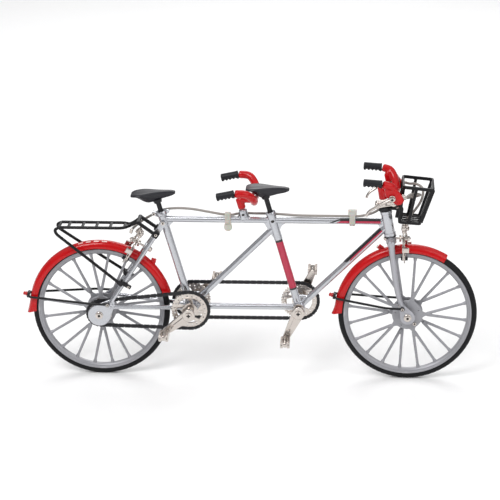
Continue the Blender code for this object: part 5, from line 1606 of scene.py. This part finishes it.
def caliper_arm(prefix, hand, side, near, spot, out, up):
    """One flat curved arm with its hub, cable end, spring peg and pad holder."""
    mid = near + ARM_HALF_THICK
    rider = f"{prefix}_arm_{hand}_body"
    lower = smooth_path([spot(mid, side * 0.2, 0.2), spot(mid, side * 3.5, -1.4),
                         spot(mid, side * 4.85, -4.4), spot(mid, side * 4.8, -8.0),
                         spot(mid, side * 4.1, -10.3)], 6)
    upper = smooth_path([spot(mid, side * 0.3, 0.2), spot(mid, side * 1.9, 2.4),
                         spot(mid, side * 2.3, 5.0)], 6)

    def strap(width, last):
        def section(i):
            wide = (width - 0.35 * i / last) * MM
            return [(u * wide, v * 0.95 * MM) for u, v in box_outline(1.0, 1.0, 0.45)]
        return section

    pieces = [turned("hub", [(0.76, 0), (1.6, 0), (1.7, 0.15), (1.7, 0.95), (1.6, 1.1),
                             (0.76, 1.1)],
                     spot(near, 0, 0), out, 32, True),
              sweep("lower", lower, strap(2.5, len(lower) - 1), out),
              sweep("upper", upper, strap(2.2, len(upper) - 1), out),
              rod("peg", spot(mid - 0.8, side * 4.2, -3.2), spot(mid + 1.0, side * 4.2, -3.2),
                  0.42 * MM, 14),
              rod("anchor", spot(mid - 0.9, side * 2.2, 4.6), spot(mid + 1.2, side * 2.2, 4.6),
                  1.1 * MM, 20),
              rod("holder", spot(0.9, side * 4.2, -10.0), spot(0.9, side * 3.2, -10.0), 0.75 * MM,
                  18)]
    body = joined(f"{prefix}_caliper_{hand}", pieces)
    dress(body, rider, "nickel", f"{prefix}_brake_arm_{hand}")
    turn = Matrix((out, Y, up)).transposed().to_4x4()

    def turned_block(name, size, place):
        made = block(name, size, Vector((0, 0, 0)), 0, 0.25 * MM)
        made.matrix_world = Matrix.Translation(place) @ turn
        return joined(name, [made])

    dress(turned_block(f"{prefix}_pad_{hand}", (3.6 * MM, 0.9 * MM, 1.8 * MM),
                       spot(1.2, side * 3.15, -10.0)), rider, "grip_black")
    dress(turned_block(f"{prefix}_cheek_{hand}", (3.6 * MM, 1.4 * MM, 2.6 * MM),
                       spot(mid + 1.2, side * 5.3, -4.8)), rider, "nickel")
    barrel = turned(f"{prefix}_barrel_{hand}", [(0.5, 0), (1.0, 0), (1.25, 0.3), (1.25, 1.5),
                                                (0.8, 1.7), (0.7, 2.6), (0.4, 2.8)],
                    spot(mid, side * 2.3, 5.0), up, 18)
    dress(barrel, rider, "nickel")
    for name, a, y, u, r in (("clamp", mid + 1.15, 2.2, 4.6, 1.05),
                             ("elbow", mid + 0.5, 4.4, -4.4, 0.95),
                             ("holder", mid + 0.5, 4.7, -8.4, 0.7)):
        screw(f"{prefix}_{name}_screw_{hand}", spot(a, side * y, u), out, r, 0.45, rider,
              "hex")
    coil = smooth_path([spot(near + 1.0, side * 1.2, 0.9), spot(near + 1.2, side * 2.6, 1.2),
                        spot(near + 1.1, side * 3.9, -0.6), spot(near + 1.0, side * 4.3, -3.0)], 5)
    dress(bar(f"{prefix}_spring_{hand}", coil, 0.24 * MM, sides=10), rider, "nickel")
    if side < 0:
        hook = smooth_path([spot(near + 1.3, side * 3.2, -7.0), spot(near + 1.5, side * 2.6, -10.0),
                            spot(near + 1.3, side * 2.9, -12.6)], 5)
        dress(bar(f"{prefix}_hook_{hand}", hook, 0.36 * MM, sides=12), rider, "nickel")


def brakes():
    out = Vector((-0.866, 0, 0.5))
    brake("rear", at(19.6, 0, 73.0), out, Vector((0.5, 0, 0.866)), at(25.6, 0, 69.5), "frame")
    brake("front", at(156.6, 0, 77.0), X, Z, at(148.8, 0, 77.0), "steering")
    dress(rod("rear_cable_stop", at(16.3, 0, 77.9), at(16.9, 0, 80.1), 0.85 * MM, 24), "frame",
          "nickel")
    dress(rod("front_cable_stop", at(156.8, -0.4, 82.6), at(157.2, -0.3, 85.4), 0.85 * MM, 24),
          "steering", "nickel")


# ---------------------------------------------------------------- cables and their clips
CABLE_D = 1.3 * MM
REAR_CABLE = ((16.6, 0, 79.4), (18.2, 3.6, 80.4), (21.8, 7.7, 82.4), (26.4, 7.2, 85.4),
              (32.4, 4.0, 89.4), (40.0, 1.2, 91.4), (48.0, 0.3, 91.4), (56.0, 0.0, 90.2),
              (64.0, 0.0, 88.8), (68.6, 0.1, 88.5), (71.4, 2.0, 88.5), (75.0, 3.3, 88.5),
              (82.0, 3.3, 88.4), (89.0, 3.3, 88.4), (96.0, 2.2, 88.4), (104.0, 0.5, 88.5),
              (118.0, 0.0, 88.6), (128.0, 0.0, 88.6), (133.6, 0.1, 88.6), (138.0, 1.6, 88.9),
              (142.0, 3.9, 89.6), (145.8, 5.4, 91.6), (149.4, 5.7, 93.7), (153.2, 5.0, 95.2),
              (158.4, 3.4, 97.6), (163.2, 0.4, 99.6), (165.2, -2.8, 101.4), (162.9, -5.4, 102.7),
              (159.9, -8.9, 103.3), (158.0, -12.8, 103.0))
BLEND_START, BLEND_END = at(136.0, 1.0, 88.8), at(149.4, 5.7, 93.7)
FRONT_CABLE = ((158.0, 12.8, 103.0), (160.1, 9.6, 103.5), (163.4, 6.2, 104.4), (166.6, 3.0, 102.8),
               (166.0, 0.8, 97.6), (162.4, 0.0, 91.8), (158.4, 0.0, 87.0), (156.9, -0.4, 84.0))


def cable(name, route):
    """A smooth tube along a route, with the path it follows and its length."""
    path = smooth_path([at(*point) for point in route], 6)
    body = bar(name, path, CABLE_D / 2, sides=16, chamfer=0.05)
    length = sum((b - a).length for a, b in zip(path, path[1:]))
    return body, path, length


def cables():
    rear, path, length = cable("rear_cable_sheath", REAR_CABLE)
    polish(rear, "cable_grey", 32)
    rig.slot(rear, "cable_grey")
    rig.replaces(rear, "rear_brake_cable", "rear_cable_lead")
    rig.blend(rear, "frame", "steering", BLEND_START, BLEND_END)
    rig.cord(rear, exit=path[0], length=length, diameter=CABLE_D, far_end="object",
            stiffness="stiff", lay="loose", path=path)
    front, path, length = cable("front_cable_sheath", FRONT_CABLE)
    dress(front, "steering", "cable_grey", "front_brake_cable")
    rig.cord(front, exit=path[0], length=length, diameter=CABLE_D, far_end="object",
            stiffness="stiff", lay="loose", path=path)


def clip(name, x, tail_down, node):
    """A milky silicone clip: a figure of eight round tube and cable, with a pull tab."""
    outer = belt((0.0, 86 * MM), 2.55 * MM, (0.0, 88.6 * MM), 1.5 * MM, 24)
    inner = belt((0.0, 86 * MM), 1.85 * MM, (0.0, 88.6 * MM), 0.8 * MM, 24)
    ring = slab("ring", [outer, inner], 3.0 * MM, Matrix.Translation((x, 0, 0)) @ END_VIEW,
                0.2 * MM)
    if tail_down:
        tab = slab("tab", [belt((x, 81.9 * MM), 2.1 * MM, (x, 84.2 * MM), 1.6 * MM, 20)], 1.8 * MM,
                   SIDE_VIEW, 0.4 * MM)
    else:
        tab = block("tab", (4.4 * MM, 2.4 * MM, 3.0 * MM), Vector((x, 0, 90.7 * MM)), 0, 0.5 * MM)
    dress(cast(name, [ring, tab], 0.16 * MM, 4), "frame", "clip_clear", node, sharp=50)


# ---------------------------------------------------------------- saddles
# Stations along a saddle: share of the half length, shares of width and depth, lift in mm.
SADDLE_STATIONS = ((-1.0, 0.42, 0.05, -1.2), (-0.985, 0.56, 0.08, -1.1), (-0.93, 0.74, 0.12, -0.9),
            (-0.8, 0.88, 0.26, -0.65), (-0.6, 0.94, 0.58, -0.4), (-0.4, 0.9, 0.94, -0.2),
            (-0.22, 0.76, 1.12, -0.08), (0.0, 0.58, 1.0, 0.0), (0.2, 0.44, 0.84, 0.0),
            (0.4, 0.36, 0.68, 0.0), (0.6, 0.31, 0.54, 0.0), (0.8, 0.27, 0.44, 0.0),
            (0.93, 0.22, 0.34, -0.05), (0.985, 0.15, 0.24, -0.15), (1.0, 0.07, 0.1, -0.3))
# Its cross-section, in shares of the half width and of the depth.
SADDLE_SECTION = ((-1.0, -0.10), (-0.99, 0.02), (-0.93, 0.13), (-0.80, 0.19), (-0.45, 0.17),
           (0.0, 0.15), (0.45, 0.17), (0.80, 0.19), (0.93, 0.13), (0.99, 0.02), (1.0, -0.10),
           (0.95, -0.24), (0.74, -0.5), (0.46, -0.86), (0.22, -1.0), (0.0, -1.02), (-0.22, -1.0),
           (-0.46, -0.86), (-0.74, -0.5), (-0.95, -0.24))
SADDLE_HALF_WIDTH = 6.4 * MM
SADDLE_DEPTH_UNDER, SADDLE_DEPTH_TOP = 4.9, 4.6


def saddle(prefix, seat_top, seat_down, middle, tilt_deg, length, post_length):
    """A moulded saddle: dished top, rolled rim, wedge underneath, and its post and clamp."""
    body = f"{prefix}_seat"
    half = length / 2
    turn = Matrix.Rotation(math.radians(tilt_deg), 3, "Y")
    rings = []
    for along, wide, deep, lift in SADDLE_STATIONS:
        ring = []
        for y, z in SADDLE_SECTION:
            depth = (SADDLE_DEPTH_UNDER * deep if z < -0.1 else SADDLE_DEPTH_TOP) * MM
            soft = 1.0 if abs(along) < 0.9 else 0.8
            ring.append(middle + turn @ Vector((half * along, SADDLE_HALF_WIDTH * wide * y,
                                                depth * z * soft + lift * MM)))
        rings.append(ring)
    shell = loft(f"{prefix}_saddle_shell", rings)
    subdivision = shell.modifiers.new("Smooth", "SUBSURF")
    subdivision.levels = 2
    subdivision.render_levels = 2
    shell = baked(shell)
    shell.name = f"{prefix}_saddle_shell"
    dress(shell, body, "saddle_black", f"{prefix}_saddle", sharp=70)
    top = seat_top - seat_down * post_length
    post = rod("post", top, seat_top + seat_down * 9.5 * MM, 1.3 * MM, 32)
    collar = turned("collar", [(1.32, 0), (2.0, 0.2), (2.3, 1.2), (2.3, 2.0), (1.32, 2.2)],
                    top + seat_down * 0.5 * MM, -seat_down, 32, True)
    dress(joined(f"{prefix}_post", [post, collar]), body, "satin_black", f"{prefix}_seat_post")


def saddles():
    saddle("stoker", STOKER_SEAT_TOP, STOKER_SEAT_DOWN, at(28.4, 0, 100.2), -2.0, 23.0 * MM,
           5.2 * MM)
    saddle("captain", CAPTAIN_SEAT_TOP, CAPTAIN_SEAT_DOWN, at(87.4, 0, 103.4), 3.0, 22.4 * MM,
           7.9 * MM)


# ---------------------------------------------------------------- assembly
camera()
cables()
studio()
wheels()
bike_frame()
fork()
bracket()
stem()
captain_bar()
stoker_bar()
grips()
levers()
basket()
fenders()
rack()
drive()
brakes()
clip("cable_clip_rear_band", 66.9 * MM, True, "cable_clip_rear")
clip("cable_clip_front_band", 130.9 * MM, False, "cable_clip_front")
saddles()

shown_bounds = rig.bounds()
with open("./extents.json", "w") as file:
    json.dump({"cad": [list(corner) for corner in cad_bounds],
               "visual": [list(corner) for corner in shown_bounds]}, file)
